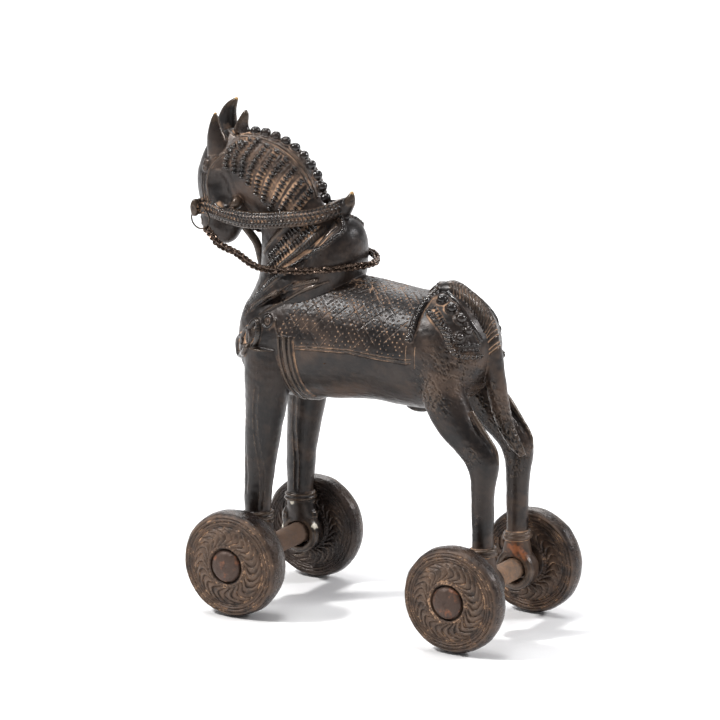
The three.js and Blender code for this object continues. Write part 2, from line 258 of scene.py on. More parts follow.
# ---- the chain ----
CHAIN_ROUTE = [
    [-101.4, -13.3, 193.3], [-97.2, -14.4, 190.3], [-92.4, -15.6, 186.7], [-81.4, -17.5, 184],
    [-73, -19.5, 180.6], [-66.3, -20.2, 178.6], [-59, -21.4, 178.4], [-50, -22.7, 179.2],
    [-40, -22.9, 180.2], [-32, -21.4, 181], [-24.8, -18.4, 181.7], [-18.2, -13.9, 182.5],
    [-13, -8.6, 183], [-10.2, -3.2, 183.1], [-10, 2.4, 183.4], [-12.6, 8.4, 184], [-17.8, 14.2, 184.4],
    [-25.4, 19.4, 184.2], [-34.6, 22.2, 183.4], [-45, 22.6, 182.4], [-56, 21.8, 182], [-66, 19.8, 183.4],
    [-74.5, 17.6, 186.2], [-82, 16, 188.4], [-89, 14.6, 190.4], [-95.6, 13.8, 191.9], [-101.4, 13.3, 193.3],
]
LINK_R, LINK_WIRE, CHAIN_D = 1.45, 0.7, 4.2


def chain():
    line = evenly(CHAIN_ROUTE, 2 * (LINK_R - LINK_WIRE))
    tangent, across, up = frames(line)
    links = Shape()
    ring, wire = 22, 8
    a, b = round_angles(ring), round_angles(wire)
    for i in range(len(line)):
        roll = math.radians(40 + 90 * (i % 2) + RNG.uniform(-14, 14) + 5 * math.sin(i * 0.21))
        u = across[i] * math.cos(roll) + up[i] * math.sin(roll)
        n = np.cross(tangent[i], u)
        centre = line[i] + RNG.normal(0, 0.05, 3)
        stretch = RNG.uniform(0.97, 1.04)
        out = np.outer(np.cos(a) * stretch, tangent[i]) + np.outer(np.sin(a) / stretch, u)
        verts = np.vstack(
            [centre + out * (LINK_R + LINK_WIRE * math.cos(t)) + n * LINK_WIRE * math.sin(t) for t in b]
        )
        links.add(verts, grid_faces(wire, ring))
    piece = links.object("rein_chain_links")
    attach(piece, "horse")
    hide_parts("rein_chain")
    return piece


CHAIN = chain()


# ---- the casting: ribs of the big forms ----
TORSO = [
    [-84.5, 131, -84.5, 147, 6], [-82.5, 123, -83, 154, 13], [-77, 114.5, -78, 162, 20.5],
    [-66, 110.5, -66, 170, 26], [-50, 108.5, -50, 174, 28.5], [-30, 110, -30, 176, 28.8],
    [-8, 112.7, -8, 175, 28.2], [10, 111.8, 10, 173, 27.5], [24, 111.6, 24, 172.8, 27.5],
    [36, 114, 36, 175, 27.5], [46, 119, 46, 172, 25], [53.5, 126, 53.5, 164.5, 20],
    [58.5, 134, 58.5, 156.5, 13], [60.5, 140, 60.5, 151, 6],
]
COLLAR = [
    [-70, 150, -20, 168, 22], [-67, 158, -16.5, 178, 22.5], [-61, 167, -15.5, 188, 21.3],
    [-54, 176, -16, 195.5, 19], [-46, 184, -18.5, 201.5, 16], [-39, 190.5, -23, 205, 12],
    [-34, 196, -29, 206, 6.5],
]
NECK = [
    [-84, 146, -26, 186, 24], [-82, 155, -28.5, 198, 20], [-76.2, 168, -34.4, 207.6, 16],
    [-74.8, 180, -39.2, 215.8, 13.8], [-75, 192, -42.8, 224.4, 12.8], [-78.5, 200, -49, 233, 12.2],
    [-83.5, 204.5, -58.5, 239.4, 12], [-89.5, 207.5, -68.5, 243, 12], [-96, 212, -78.5, 244.3, 11.5],
    [-102, 220, -87.5, 243.6, 9.5],
]
HEAD = [
    [-95.5, 245, -77, 237.5, 6], [-105, 239, -77.5, 225.5, 11], [-110, 231.8, -79.5, 213.5, 12.5],
    [-113.5, 222.6, -81.5, 203.5, 12.2], [-114, 215, -85.5, 197.3, 10.6], [-112.6, 207.3, -89, 191.5, 9],
    [-112.2, 200, -92, 186.6, 8.2], [-111, 192.8, -95.5, 184.2, 7], [-107, 187.4, -100, 183.8, 4.2],
]
FORELEG = [
    [-73.2, 138, -48, 138, 9.5], [-73, 122, -48.6, 118, 10], [-72.8, 107, -51, 104, 9.5],
    [-72.9, 91, -54, 89, 8.7], [-73.3, 74, -56.9, 74, 7.7], [-73.6, 60, -58.6, 60, 6.8],
    [-73.4, 50, -59.6, 50, 6.2], [-73.6, 42, -58, 42, 6], [-74.4, 34, -56, 34, 5.6],
    [-73.4, 28, -56.6, 28, 5.4],
]
HIND_LEG = [
    [30, 142, 50, 152, 8], [29.4, 126, 52, 132, 9.4], [34, 114.4, 56.5, 119.5, 9.4],
    [41.2, 104.2, 62, 109.5, 8.4], [49, 97, 69.6, 101.6, 7.2], [54.8, 91.4, 73.2, 94.6, 6.5],
    [57.8, 85, 73, 87, 6.1], [58.8, 76, 71, 77, 5.8], [59, 63, 70.4, 63, 5.6], [59.4, 51, 70.2, 51, 5.7],
    [58.4, 42, 71.4, 42, 5.7], [56.6, 34, 73.2, 34, 5.5], [57.6, 28, 72.4, 28, 5.3],
]
TAIL = [
    [22, 170, 27, 176.5, 3], [32, 170, 37, 179.6, 5.5], [41, 166, 46, 176, 5.8],
    [48.5, 158, 55, 169.8, 5.8], [52.5, 149, 60.6, 160.6, 5.6], [55, 139, 64, 148.5, 5.5],
    [56.5, 128, 66.2, 135, 5.3, 0.5], [58.6, 115.5, 68, 120.5, 4.9, 1.5], [62.6, 104, 70, 109, 4.3, 3],
    [67.5, 96, 73, 100, 3.2, 4.5], [73, 90, 75.6, 92, 1.6, 6.5],
]
NEAR_EAR = [
    [-103.5, 231, -92, 233.5, 4], [-104, 237, -92.6, 240, 3.8], [-103.4, 244, -95.4, 246.5, 3],
    [-101.8, 250, -97, 251.3, 2], [-99.8, 254, -98.6, 254.3, 0.8],
]
FAR_EAR = [
    [-105.5, 236, -94.5, 238, 4], [-107.4, 244, -96, 246.5, 3.8], [-105.6, 251, -96.4, 252.6, 3],
    [-101.8, 256.2, -95.6, 256.8, 2], [-96.2, 259.8, -95, 259, 0.8],
]
FORELOCK = [
    [-93, 243, -83.5, 244, 3], [-91.4, 247.5, -84.3, 248, 2.6], [-88, 253, -84, 253, 1.8],
    [-86, 255.4, -84.8, 255.2, 0.8],
]
EAR_Y = 8
REIN = [
    [-108, 7.5, 203.6], [-101, 9, 203.4], [-90, 12.6, 202], [-76, 15.2, 201.4], [-62, 16, 202.8],
    [-48, 15.8, 205.2], [-37.5, 12.4, 207], [-30.5, 7, 209.4], [-27, 0, 211.4],
]
HORN = [
    [-34, 209, -26, 203.5, 4.5], [-31.5, 212, -23, 207.5, 4.2], [-27.5, 214.5, -20.8, 212.5, 3.4],
    [-25, 217, -20.8, 216.3, 2.4], [-23, 219.6, -21.6, 219.4, 0.9],
]
THROAT_STRAP = [[-88, 0, 196], [-84, 0, 191.5], [-79.6, 0, 186.4], [-77.4, 0, 180], [-75.8, 0, 172]]
EYE_BORE_R, EYE_OUT_R, EYE_W, EYE_DROP = 6.6, 11.0, 10.8, 0.4
FORE_EYE_Y, HIND_EYE_Y = 21.4, 18.5
RING_AT, RING_R, RING_WIRE = np.array([-105.5, 13.0, 198.6]), 5.35, 0.45
RING_HOLE = math.radians(124)
VOXEL = 0.36
SHINE = []  # polished places on the casting: [x, y, z, reach]


def evaluated(made):
    """The object's mesh with its modifiers, as vertices and faces. The object is deleted."""
    graph = bpy.context.evaluated_depsgraph_get()
    mesh = made.evaluated_get(graph).to_mesh()
    verts = np.zeros(len(mesh.vertices) * 3)
    mesh.vertices.foreach_get("co", verts)
    faces = [tuple(p.vertices) for p in mesh.polygons]
    bpy.data.objects.remove(made)
    return verts.reshape(-1, 3), faces


def cut(form, cutters):
    body = mesh_object("body", *form)
    made = [mesh_object("cutter", *c) for c in cutters]
    for cutter in made:
        modifier = body.modifiers.new("cut", "BOOLEAN")
        modifier.object = cutter
        modifier.operation = "DIFFERENCE"
        modifier.solver = "EXACT"
    bpy.context.view_layer.update()
    result = evaluated(body)
    for cutter in made:
        bpy.data.objects.remove(cutter)
    return result


def rod(radius, a, b, sides=24):
    a, b = np.asarray(a, float), np.asarray(b, float)
    return tube(np.linspace(a, b, 4), radius, radius, sides=sides)


def big_forms():
    forms = [
        cut(limb(TORSO, around=64), [rod(3, [-10, 0, 100], [-10, 0, 122])]),
        limb(COLLAR, around=56), limb(NECK, around=48), limb(HEAD, around=48), limb(TAIL, around=32),
    ]
    for side in (-1, 1):
        for ribs, x, y in ((FORELEG, FRONT_X, FORE_EYE_Y), (HIND_LEG, REAR_X, HIND_EYE_Y)):
            z = AXLE_Z - EYE_DROP
            bore = rod(EYE_BORE_R, [x, side * y - 20, z], [x, side * y + 20, z], 40)
            forms.append(cut(limb(ribs, side * y, around=36), [bore]))
    return forms


BIG = big_forms()


def outward(verts, faces):
    """The form with its faces turned outwards."""
    v = np.asarray(verts)
    volume = sum(v[f[0]] @ np.cross(v[f[i]], v[f[i + 1]]) for f in faces for i in range(1, len(f) - 1))
    return (v, faces) if volume > 0 else (v, [tuple(f)[::-1] for f in faces])


def surface(forms):
    verts, faces, count = [], [], 0
    for v, f in (outward(*form) for form in forms):
        verts.append(v)
        faces += [tuple(int(i) + count for i in g) for g in f]
        count += len(v)
    return BVHTree.FromPolygons([Vector(v) for v in np.vstack(verts)], faces)


SKIN = surface(BIG)


def snap(points, side=None):
    """Points laid on the casting: (x, z) pairs from one side along Y, triples to the nearest place."""
    places, normals = [], []
    for p in points:
        if len(p) == 2:
            place, normal, _, _ = SKIN.ray_cast(Vector((p[0], 60 * side, p[1])), Vector((0, -side, 0)))
        else:
            place, normal, _, _ = SKIN.find_nearest(Vector(p))
        if place is not None:
            places.append(place)
            normals.append(normal)
    places, normals = np.array(places), np.array(normals)
    # normals are evened out along the line, so that a row of beads doesn't jitter over facets
    for _ in range(3):
        normals[1:-1] = (normals[:-2] + 2 * normals[1:-1] + normals[2:]) / 4
    normals /= np.linalg.norm(normals, axis=1)[:, None]
    return places, normals


def lay(points, side, step):
    """A line through (x, z) pairs or triples, laid on the casting on one side, with its normals."""
    if len(points[0]) == 3:
        points = [[x, y * side, z] for x, y, z in points]
    places, _ = snap(evenly(points, step / 2), side)
    return snap(evenly(places, step))


# ---- raised ornament ----
def ridge(shape, points, side, wide, tall, sink=0.0, taper=False):
    places, normals = lay(points, side, 0.8)
    ends = np.ones(len(places))
    if taper:
        t = np.linspace(0, 1, len(places))
        ends = np.clip(np.minimum(t, 1 - t) * 6, 0.35, 1)
    shape.add(*tube(places - normals * sink, wide * ends, tall * ends, normals))


def oval(x, z, half_x, half_z, count=21):
    """A closed line of (x, z) pairs round a middle point."""
    turn = round_angles(count, True)
    return np.stack([x + half_x * np.cos(turn), z + half_z * np.sin(turn)], 1)


def along_axes(places, normals):
    tangent = np.gradient(places, axis=0)
    tangent -= normals * (tangent * normals).sum(1)[:, None]
    tangent /= np.linalg.norm(tangent, axis=1)[:, None]
    return tangent, np.cross(normals, tangent)


def beads(shape, points, side, size, pitch, sink=0.2, shine=0.0):
    """A row of beads. size is half the length along the row, across it and out of the surface."""
    places, normals = lay(points, side, pitch)
    tangent, across = along_axes(places, normals)
    for p, n, t, a in zip(places, normals, tangent, across):
        k = 1 + RNG.uniform(-0.06, 0.06, 3)
        p = p - n * sink + t * RNG.normal(0, 0.1)
        shape.add(*ball(p, np.array(size) * k, [t, a, n], 6, 10))
        if shine:
            SHINE.append([*(p + n * size[2] * 0.7), shine])


def polish(points, side, reach):
    for place, normal in zip(*lay(points, side, 1.5)):
        SHINE.append([*(place + normal * reach * 0.7), reach])


def strokes(shape, places, normals, lift, size, slant):
    """Slanted short strands along a line, as in a braid."""
    tangent, across = along_axes(places, normals)
    for place, normal, t, a in zip(places, normals, tangent, across):
        d = t * math.cos(slant) + a * math.sin(slant)
        shape.add(*ball(place + normal * lift, size, [d, np.cross(normal, d), normal], 5, 8))


NECK_ROWS = [
    [(-83, 240), (-88.5, 236.5), (-90.3, 232), (-90.6, 226.8)],
    [(-79.3, 241.3), (-83.8, 236), (-85.2, 232), (-85.6, 225)],
    [(-74.4, 241.3), (-78, 236.2), (-80.3, 230.3), (-80.9, 223)],
    [(-68.9, 239.2), (-72.2, 233.7), (-75.2, 228.5), (-77.2, 219.5)],
    [(-63, 236.8), (-66.8, 230), (-70, 224.4), (-72.4, 215)],
    [(-57.2, 233.3), (-61.2, 228.3), (-64.4, 222.2), (-68, 212)],
    [(-51.9, 229), (-55.7, 223.6), (-59.7, 216), (-63.8, 208.5)],
    [(-47.6, 223.6), (-52.3, 216), (-57, 208.2)],
    [(-43.3, 218.2), (-46, 214), (-50, 208)],
]
LADDER_ROWS = [[(-46.5, 200.6), (-53.8, 192.6), (-62.4, 183.4)], [(-38.6, 201.2), (-48.5, 190.8), (-61, 179)]]
COLLAR_RIM = [
    [-32, 0, 207], [-26.5, 4, 205.2], [-23, 8.2, 200.3], [-25.9, 12.2, 195.9], [-30.6, 15.6, 191.4],
    [-37.6, 17.9, 187.7], [-43, 19.1, 184], [-48, 19.7, 180.2], [-56.3, 20.2, 174.1], [-65, 20, 165.5],
    [-76, 17, 156],
]
MANE_AT, MANE_R, MANE_COUNT = np.array([-77.5, 204.3]), 40.6, 11


def mane(shape):
    """Round beads in cups along the crest, between two raised borders."""
    at = np.array([MANE_AT[0], 0, MANE_AT[1]])
    turn = round_angles(19, True)
    for a in np.radians(np.linspace(14, 102, MANE_COUNT)):
        out, forward = np.array([math.cos(a), 0, math.sin(a)]), np.array([-math.sin(a), 0, math.cos(a)])
        shape.add(*ball(at + out * (MANE_R - 0.1), 2.75, rings=12, sides=18))
        SHINE.append([*(at + out * (MANE_R + 1)), 5.0])
        loop = np.outer(np.cos(turn), forward) + np.outer(np.sin(turn), [0, 1, 0])
        cup = at + out * (MANE_R - 2.2) + 3.1 * loop
        shape.add(*tube(cup, 0.7, 0.9, sides=8))
    for side in (-1, 1):
        for inward, wide in ((0.6, 0.8), (3.6, 0.7)):
            r = MANE_R - 1.6 - inward
            arc = [
                (MANE_AT[0] + r * math.cos(a), side * 4.6, MANE_AT[1] + r * math.sin(a))
                for a in np.radians(np.linspace(16, 106, 26))
            ]
            places, normals = snap(arc)
            shape.add(*tube(places, wide, wide, normals))


def neck_ornament(shape, side):
    for points in NECK_ROWS:
        beads(shape, points, side, (0.84, 2.1, 1.8), 2.2, sink=-0.1, shine=2.2)
    for first, second in zip(NECK_ROWS[:-1], NECK_ROWS[1:]):
        a, b = (spline(points, np.linspace(0, 1, 12)) for points in (first, second))
        ridge(shape, (a + b) / 2, side, 1.1, 0.35, sink=0.1)
    for points in LADDER_ROWS:
        beads(shape, points, side, (0.78, 2.5, 1.8), 2.05, sink=-0.2, shine=2.4)
    low, high = LADDER_ROWS
    ridge(shape, [((a[0] + b[0]) / 2, (a[1] + b[1]) / 2) for a, b in zip(low, high)], side, 1.0, 0.6)
    ridge(shape, [(-53, 201), (-60, 194), (-68.5, 184)], side, 1.5, 0.8)
    band = [(-33.5, 200.4), (-42.3, 190.6), (-53, 180.4), (-60, 173.8)]
    ridge(shape, band, side, 2.3, 1.0)
    strokes(shape, *lay(band, side, 1.6), 0.9, (1.7, 0.5, 0.55), 1.05)
    beads(shape, COLLAR_RIM, side, (0.72, 1.3, 1.5), 1.65, sink=-0.3, shine=1.4)
    ridge(shape, COLLAR_RIM, side, 1.15, 1.3)


def shoulder_ornament(shape, side):
    ridge(shape, [(-50, 177.6), (-56.1, 172.6), (-65.4, 164.2), (-78, 153)], side, 1.1, 1.1, taper=True)
    band = [(-31, 175.9), (-40, 173), (-52.4, 167.8), (-65.7, 160.5), (-74, 152.5)]
    ridge(shape, band, side, 1.1, 0.9)
    strokes(shape, *lay(band, side, 1.5), 0.75, (1.35, 0.48, 0.6), 0.85)
    ridge(shape, [(-26, 175.4), (-38, 170.2), (-50.6, 162.5), (-63.8, 154.6)], side, 1.0, 1.0, taper=True)
    for x, z, lean, long in ((-65.6, 144.8, 0.16, 6.6), (-70.6, 140.2, 0.2, 6.4), (-76.2, 136.2, 0.24, 5.6)):
        ring = [
            (x + 3.3 * math.cos(t) + long * lean * math.sin(t), z + long * math.sin(t))
            for t in round_angles(21, True)
        ]
        ridge(shape, ring, side, 1.6, 2.2)
        polish(ring, side, 1.7)
        core = [(x - lean * 3, z - long * 0.55), (x, z), (x + lean * 3, z + long * 0.55)]
        ridge(shape, core, side, 1.5, 1.1, taper=True)
    boss = oval(-57.5, 152.3, 2.9, 2.9, 17)
    ridge(shape, boss, side, 1.1, 1.5)
    polish(boss, side, 1.5)
    beads(shape, [(-57.6, 152.4), (-57.4, 152.2)], side, (0.8, 0.8, 0.9), 0.6)
    ridge(shape, [(-53.5, 155.5), (-50.5, 148), (-47, 143.6)], side, 0.7, 0.6, taper=True)


def torso_ring(x, low, high, count=22):
    """A line round the torso at x, between two angles from the belly's middle line."""
    ribs = np.array(TORSO, float)
    z0, z1, half = (np.interp(x, ribs[:, 0], ribs[:, k]) for k in (1, 3, 4))
    a = np.radians(np.linspace(low, high, count))
    return np.stack([np.full(count, x), half * np.sin(a), z0 + (z1 - z0) * (1 - np.cos(a)) / 2], 1)


def girth(shape, side):
    for x, wide in ((-49.2, 1.0), (-45.9, 1.5), (-42.6, 1.0)):
        line = torso_ring(x, 0, 98)
        line[:, 0] += np.interp(line[:, 2], [108, 118, 142], [2.4, 1.6, 0.0])
        ridge(shape, line, side, wide, 1.5)


REAR_BAND = [
    [32, 0, 176], [30.8, 6, 174.4], [29.4, 12, 170.8], [28.3, 18, 165.8], [27.6, 24, 157.4], [26.6, 26, 152],
]


def rear_band(shape, side):
    line = np.array(REAR_BAND)
    beads(shape, line + [-2.3, 0, 0.5], side, (0.75, 1.0, 1.1), 1.6, sink=-0.1, shine=1.1)
    braid = line + [0.2, 0, 0.2]
    ridge(shape, braid, side, 1.6, 2.1, sink=-0.2)
    strokes(shape, *lay(braid, side, 2.1), 1.8, (1.7, 0.7, 1.0), 0.8)
    polish(braid, side, 2.0)
    ridge(shape, line + [-1.2, 0, 0.2], side, 1.8, 0.7)


LEAF_LEFT = [
    (33.6, 166.6), (39, 162.8), (44.3, 158), (47.4, 152.5), (49.6, 148.4), (53.6, 146.2), (59, 145.4),
]
LEAF_RIGHT = [
    [37, 6.5, 174], [42.1, 8.7, 171.6], [47.5, 10.4, 167.6], [51.8, 11.2, 163], [55, 10.8, 158.6],
    [58, 9.6, 152.6],
]
LEAF_BALLS = [
    [37.4, 12, 171.2, 2.6], [43.6, 14, 168.2, 2.85], [49, 14.6, 163.8, 2.8], [53, 14.8, 158.4, 2.5],
    [50.2, 18.2, 155.4, 2.1],
]


def rump_leaf(shape, side):
    # the right leaf lies a little lower on the rump than the left one
    down = np.array([-5.0, 5.0, -6.0]) if side > 0 else np.zeros(3)
    flat = down[[0, 2]]
    braid, rim = LEAF_LEFT + flat, LEAF_RIGHT + down
    ridge(shape, braid, side, 1.8, 2.2)
    strokes(shape, *lay(braid, side, 2.3), 1.9, (2.1, 0.8, 1.1), 0.9)
    polish(braid, side, 2.0)
    ridge(shape, rim, side, 1.2, 1.6)
    polish(rim, side, 2.2)
    ridge(shape, rim + [-1.5, 1.6, -1.2], side, 0.65, 0.9)
    for x, y, z, r in LEAF_BALLS:
        (at,), (n,) = snap([(x, (y + down[1]) * side, z + down[2])])
        shape.add(*ball(at + n * (0.9 if side < 0 else -1.0), r, rings=10, sides=16))
        SHINE.append([*(at + n * 1.6), r * 1.6])
        t = np.cross(n, [0, 1, 0])
        t /= np.linalg.norm(t)
        u = np.cross(n, t)
        turn = round_angles(19, True)
        loop = at + (r + 0.35) * (np.outer(np.cos(turn), t) + np.outer(np.sin(turn), u))
        shape.add(*tube(loop, 0.5, 0.5, sides=7))
    rows = [
        ([(35.8, 168.6), (41.5, 164.2), (46.4, 158.8), (49.5, 154)], (0.8, 1.0, 1.3), 2.0),
        ([(36.2, 166.6), (41.6, 162), (46, 157), (48.6, 152.6)], (0.66, 1.3, 1.2), 1.8),
    ]
    for up in (0, 2.4):
        rows.append(([(50.4, 149.4 + up), (54.6, 149 + up), (58.4, 148.6 + up)], (0.7, 0.8, 1.1), 1.7))
    for points, size, pitch in rows:
        beads(shape, np.array(points) + flat, side, size, pitch, sink=0, shine=size[2])


def knob(shape, x, z, r, side, lift):
    (at,), (n,) = snap([(x, z)], side)
    shape.add(*ball(at + n * lift, r, rings=10, sides=16))


def head_ornament(shape, side):
    knob(shape, -86.4, 208.6, 3.7, side, 0.6)
    eye = oval(-103.6, 226.2, 1.5, 3.0)
    ridge(shape, eye, side, 0.55, 0.75)
    ridge(shape, eye + np.outer(np.sign(eye[:, 0] + 103.6), [0.7, 0]), side, 0.45, 0.5)
    knob(shape, -103.6, 226.2, 1.35, side, -0.2)
    for x in (0, 1.9, 3.6):
        ridge(shape, [(-105.9 + x, 222), (-106.2 + x, 215), (-105.2 + x, 207.5)], side, 0.55, 0.6)
    bridle = [(-91.5, 234.4), (-95, 231.6), (-98.8, 227.6), (-101, 222.5), (-101.6, 215), (-101, 208)]
    ridge(shape, bridle, side, 0.8, 0.8)
    ridge(shape, [(-93, 236), (-97, 232.6), (-100.8, 230)], side, 0.7, 0.8, taper=True)
    ridge(shape, [(-99, 192.5), (-104, 189.8), (-109, 190.8)], side, 0.5, 0.45, taper=True)
    ridge(shape, oval(-109.8, 195.5, 1.5, 1.8), side, 0.4, 0.5)


def rein(shape, side):
    """A flat strap with a chevron of slanted strands between two smooth edges."""
    path = evenly([[x, y * side, z] for x, y, z in REIN], 2.2)
    tangent, _, up = frames(path, np.tile([0, 0, 1.0], (len(path), 1)))
    out = np.cross(tangent, up)
    out *= np.sign((out[:, 1] * side).mean())
    out[-1] = out[-2]
    shape.add(*tube(path, 1.1, 3.8, up, sides=16))
    shape.add(*tube(path + up * 3.35, 1.5, 0.95, up))
    shape.add(*tube(path - up * 3.5, 1.2, 0.7, up))
    for face in (1, -1):
        n = out * face
        for at, slant in ((1.35, -0.8), (-1.55, 0.8)):
            for i in range(1, len(path) - 1):
                d = tangent[i] * math.cos(slant) + up[i] * math.sin(slant)
                place = path[i] + up[i] * at + n[i] * 0.95
                shape.add(*ball(place, (2.2, 0.88, 1.6), [d, np.cross(n[i], d), n[i]], 6, 8))
                SHINE.append([*(place + n[i] * 1.1), 1.1])
        SHINE.extend([*(p + u * 3.4 + m * 1.2), 1.3] for p, u, m in zip(path, up, n))


def nose_roll():
    profile = [
        (0.4, -15.5), (2.6, -15.4), (4.2, -14.7), (4.7, -13.4), (4.6, -12.2), (3.9, -11.3), (3.9, -10.7),
        (4.4, -10.1), (4.4, -8.9), (3.8, -8.2), (3.7, 0),
    ]
    half = profile + [(r, -y) for r, y in profile[-2::-1]]
    verts, faces = spun(half + [(0.02, 15.5), (0.02, -15.5)], 40)
    verts = verts * [0.52, 1, 1] + [-108.6, 0, 203.9]
    holes = []
    for side in (-1, 1):
        at = RING_AT * [1, side, 1] + RING_R * np.array([math.cos(RING_HOLE), 0, math.sin(RING_HOLE)])
        d = np.array([-math.sin(RING_HOLE), 0, math.cos(RING_HOLE)]) * 7
        holes.append(rod(1.75, at - d, at + d, 16))
    return cut((verts, faces), holes)


def hoof(shape, x, y, side, fore):
    z = AXLE_Z - EYE_DROP
    w = EYE_W / 2
    half = [
        (EYE_BORE_R, w - 0.8), (EYE_BORE_R + 0.8, w), (EYE_OUT_R - 2.2, w), (EYE_OUT_R - 0.6, w - 1.1),
        (EYE_OUT_R, w - 3),
    ]
    profile = [(r, -out) for r, out in half] + half[::-1]
    shape.add(*spun(profile, 56, y * side, x, z))
    cuff_z, rx, ry = (46.5, 7.6, 6.9) if fore else (44.5, 6.6, 6.3)
    middle_x = -66.2 if fore else 64.9
    for lift, wide in ((0, 1.15), (2.1, 0.9)):
        turn = round_angles(25, True)
        c, s = np.cos(turn), np.sin(turn)
        ring = np.stack([middle_x + rx * c, y * side + ry * s, cuff_z + lift + 0.5 * c], 1)
        shape.add(*tube(ring, wide, wide, sides=10))
    if fore:
        shape.add(*ball([x - 7.2, y * side, z + 7.6], (4.6, 5.2, 6.6)))
        shape.add(*ball([x, y * side, z + 9.4], (9.4, 5.4, 6.4)))
    lump_x = middle_x + (7.2 if fore else -7.4)
    shape.add(*ball([lump_x, y * side, cuff_z - 1.5], (1.9, 1.7, 1.6)))


SINEW = [(57.5, 0, 118), (64.5, 0.5, 109), (71.5, 0, 99), (72.5, 0, 92)]


def ornament():
    shape = Shape()
    for side in (-1, 1):
        neck_ornament(shape, side)
        shoulder_ornament(shape, side)
        girth(shape, side)
        rear_band(shape, side)
        rump_leaf(shape, side)
        head_ornament(shape, side)
        rein(shape, side)
        hoof(shape, FRONT_X, FORE_EYE_Y, side, True)
        hoof(shape, REAR_X, HIND_EYE_Y, side, False)
        sinew = [(x, side * (HIND_EYE_Y + out), z) for x, out, z in SINEW]
        shape.add(*tube(evenly(sinew, 1.0), 1.7, 1.5))
    mane(shape)
    shape.add(*nose_roll())
    shape.add(*limb(HORN, around=24))
    shape.add(*tube(evenly(THROAT_STRAP, 1.0), 1.9, 2.2))
    shape.add(*limb(NEAR_EAR, -EAR_Y, around=28))
    shape.add(*limb(FAR_EAR, EAR_Y, around=28))
    shape.add(*limb(FORELOCK, around=20))
    shape.add(*ball([17.5, 0, 111.6], (8, 4, 3.4)))
    return shape


def cast():
    """All forms fused to one skin."""
    shape = ornament()
    for form in BIG:
        shape.add(*form)
    verts, faces = shape.points(), shape.faces
    made = mesh_object("forms", verts, faces)
    modifier = made.modifiers.new("fuse", "REMESH")
    modifier.mode = "VOXEL"
    modifier.voxel_size = VOXEL
    bpy.context.view_layer.update()
    graph = bpy.context.evaluated_depsgraph_get()
    mesh = bpy.data.meshes.new_from_object(made.evaluated_get(graph))
    bpy.data.objects.remove(made)
    return mesh


SKIN_MESH = cast()


# ---- the skin: smoothing, incised lines, wear, dirt and painted shade ----
class Skin:
    """The fused mesh as arrays, with the depth and the dirt of the lines cut into it."""

    def __init__(self, mesh):
        self.mesh = mesh
        n = len(mesh.vertices)
        self.v = np.zeros(n * 3)
        mesh.vertices.foreach_get("co", self.v)
        self.v = self.v.reshape(-1, 3)
        pairs = np.zeros(len(mesh.edges) * 2, int)
        mesh.edges.foreach_get("vertices", pairs)
        pairs = pairs.reshape(-1, 2)
        self.a, self.b = np.concatenate([pairs, pairs[:, ::-1]]).T
        self.degree = np.bincount(self.a, minlength=n)
        self.depth = np.zeros(n)
        self.cut_dirt = np.zeros(n)

    def averaged(self, values, rounds, share=1.0):
        values = np.asarray(values, float)
        flat = values[:, None] if values.ndim == 1 else values
        flat = flat.copy()
        for _ in range(rounds):
            for k in range(flat.shape[1]):
                mean = np.bincount(self.a, weights=flat[self.b, k], minlength=len(flat)) / self.degree
                flat[:, k] += (mean - flat[:, k]) * share
        return flat[:, 0] if values.ndim == 1 else flat

    def normals(self):
        self.mesh.vertices.foreach_set("co", self.v.ravel())
        self.mesh.update()
        n = np.zeros(len(self.v) * 3, np.float32)
        self.mesh.vertex_normals.foreach_get("vector", n)
        return n.reshape(-1, 3).astype(float)

    def index(self):
        self.tree = KDTree(len(self.v))
        for i, co in enumerate(self.v):
            self.tree.insert(co, i)
        self.tree.balance()

    def groove(self, points, wide, deep, dirt=0.7, step=0.3):
        """Cuts a rounded line, wide across and deep, through points lying on the skin."""
        for p in evenly(points, step) if len(points) > 1 else points:
            for _, i, d in self.tree.find_range(Vector(p), wide):
                k = (1 - (d / wide) ** 2) ** 2
                self.depth[i] = max(self.depth[i], deep * k)
                self.cut_dirt[i] = max(self.cut_dirt[i], dirt * k)

    def marked(self, places):
        """From 0 to 1, how close the skin lies to any of many small places."""
        total = np.zeros(len(self.v))
        for x, y, z, reach in places:
            for _, i, d in self.tree.find_range(Vector((x, y, z)), reach):
                total[i] = max(total[i], min(1.0, 1.6 * (1 - d / reach)))
        return total


def near(points, places):
    """From 0 to 1, how close points lie to any of the places: [x, y, z, reach]."""
    total = np.zeros(len(points))
    for x, y, z, reach in places:
        d = np.linalg.norm(points - [x, y, z], axis=1)
        total = np.maximum(total, np.clip(1.25 - d / reach, 0, 1))
    return total


def rise(values, low, high):
    t = np.clip((values - low) / (high - low), 0, 1)
    return t * t * (3 - 2 * t)


CLOTH_ARC = 46.0


def cloth_line(x0, s0, x1, s1, side, wander=0.0):
    """A line on the saddle cloth. x is along the back, s is up the side from the cloth's lower edge."""
    n = max(3, int(math.hypot(x1 - x0, s1 - s0) / 1.2))
    t = np.linspace(0, 1, n)
    x = x0 + (x1 - x0) * t + wander * np.sin(t * 5 + x0)
    s = s0 + (s1 - s0) * t
    ribs = np.array(TORSO, float)
    low, high, half = (np.interp(x, ribs[:, 0], ribs[:, k]) for k in (1, 3, 4))
    a = np.radians(90 + 90 * s / CLOTH_ARC)
    points = np.stack([x, side * half * np.sin(a), low + (high - low) * (1 - np.cos(a)) / 2], 1)
    return snap(points)[0]


def front_edge(s):
    """Where the cloth begins behind the shoulder band, s up from its lower edge."""
    return np.interp(s, [0, 8, 20, 34, 46], [-46, -51, -45, -24, -13])


def rear_edge(s):
    return np.interp(s, [0, 8, 20, 34, 46], [25, 23.5, 24, 26.5, 28.5])


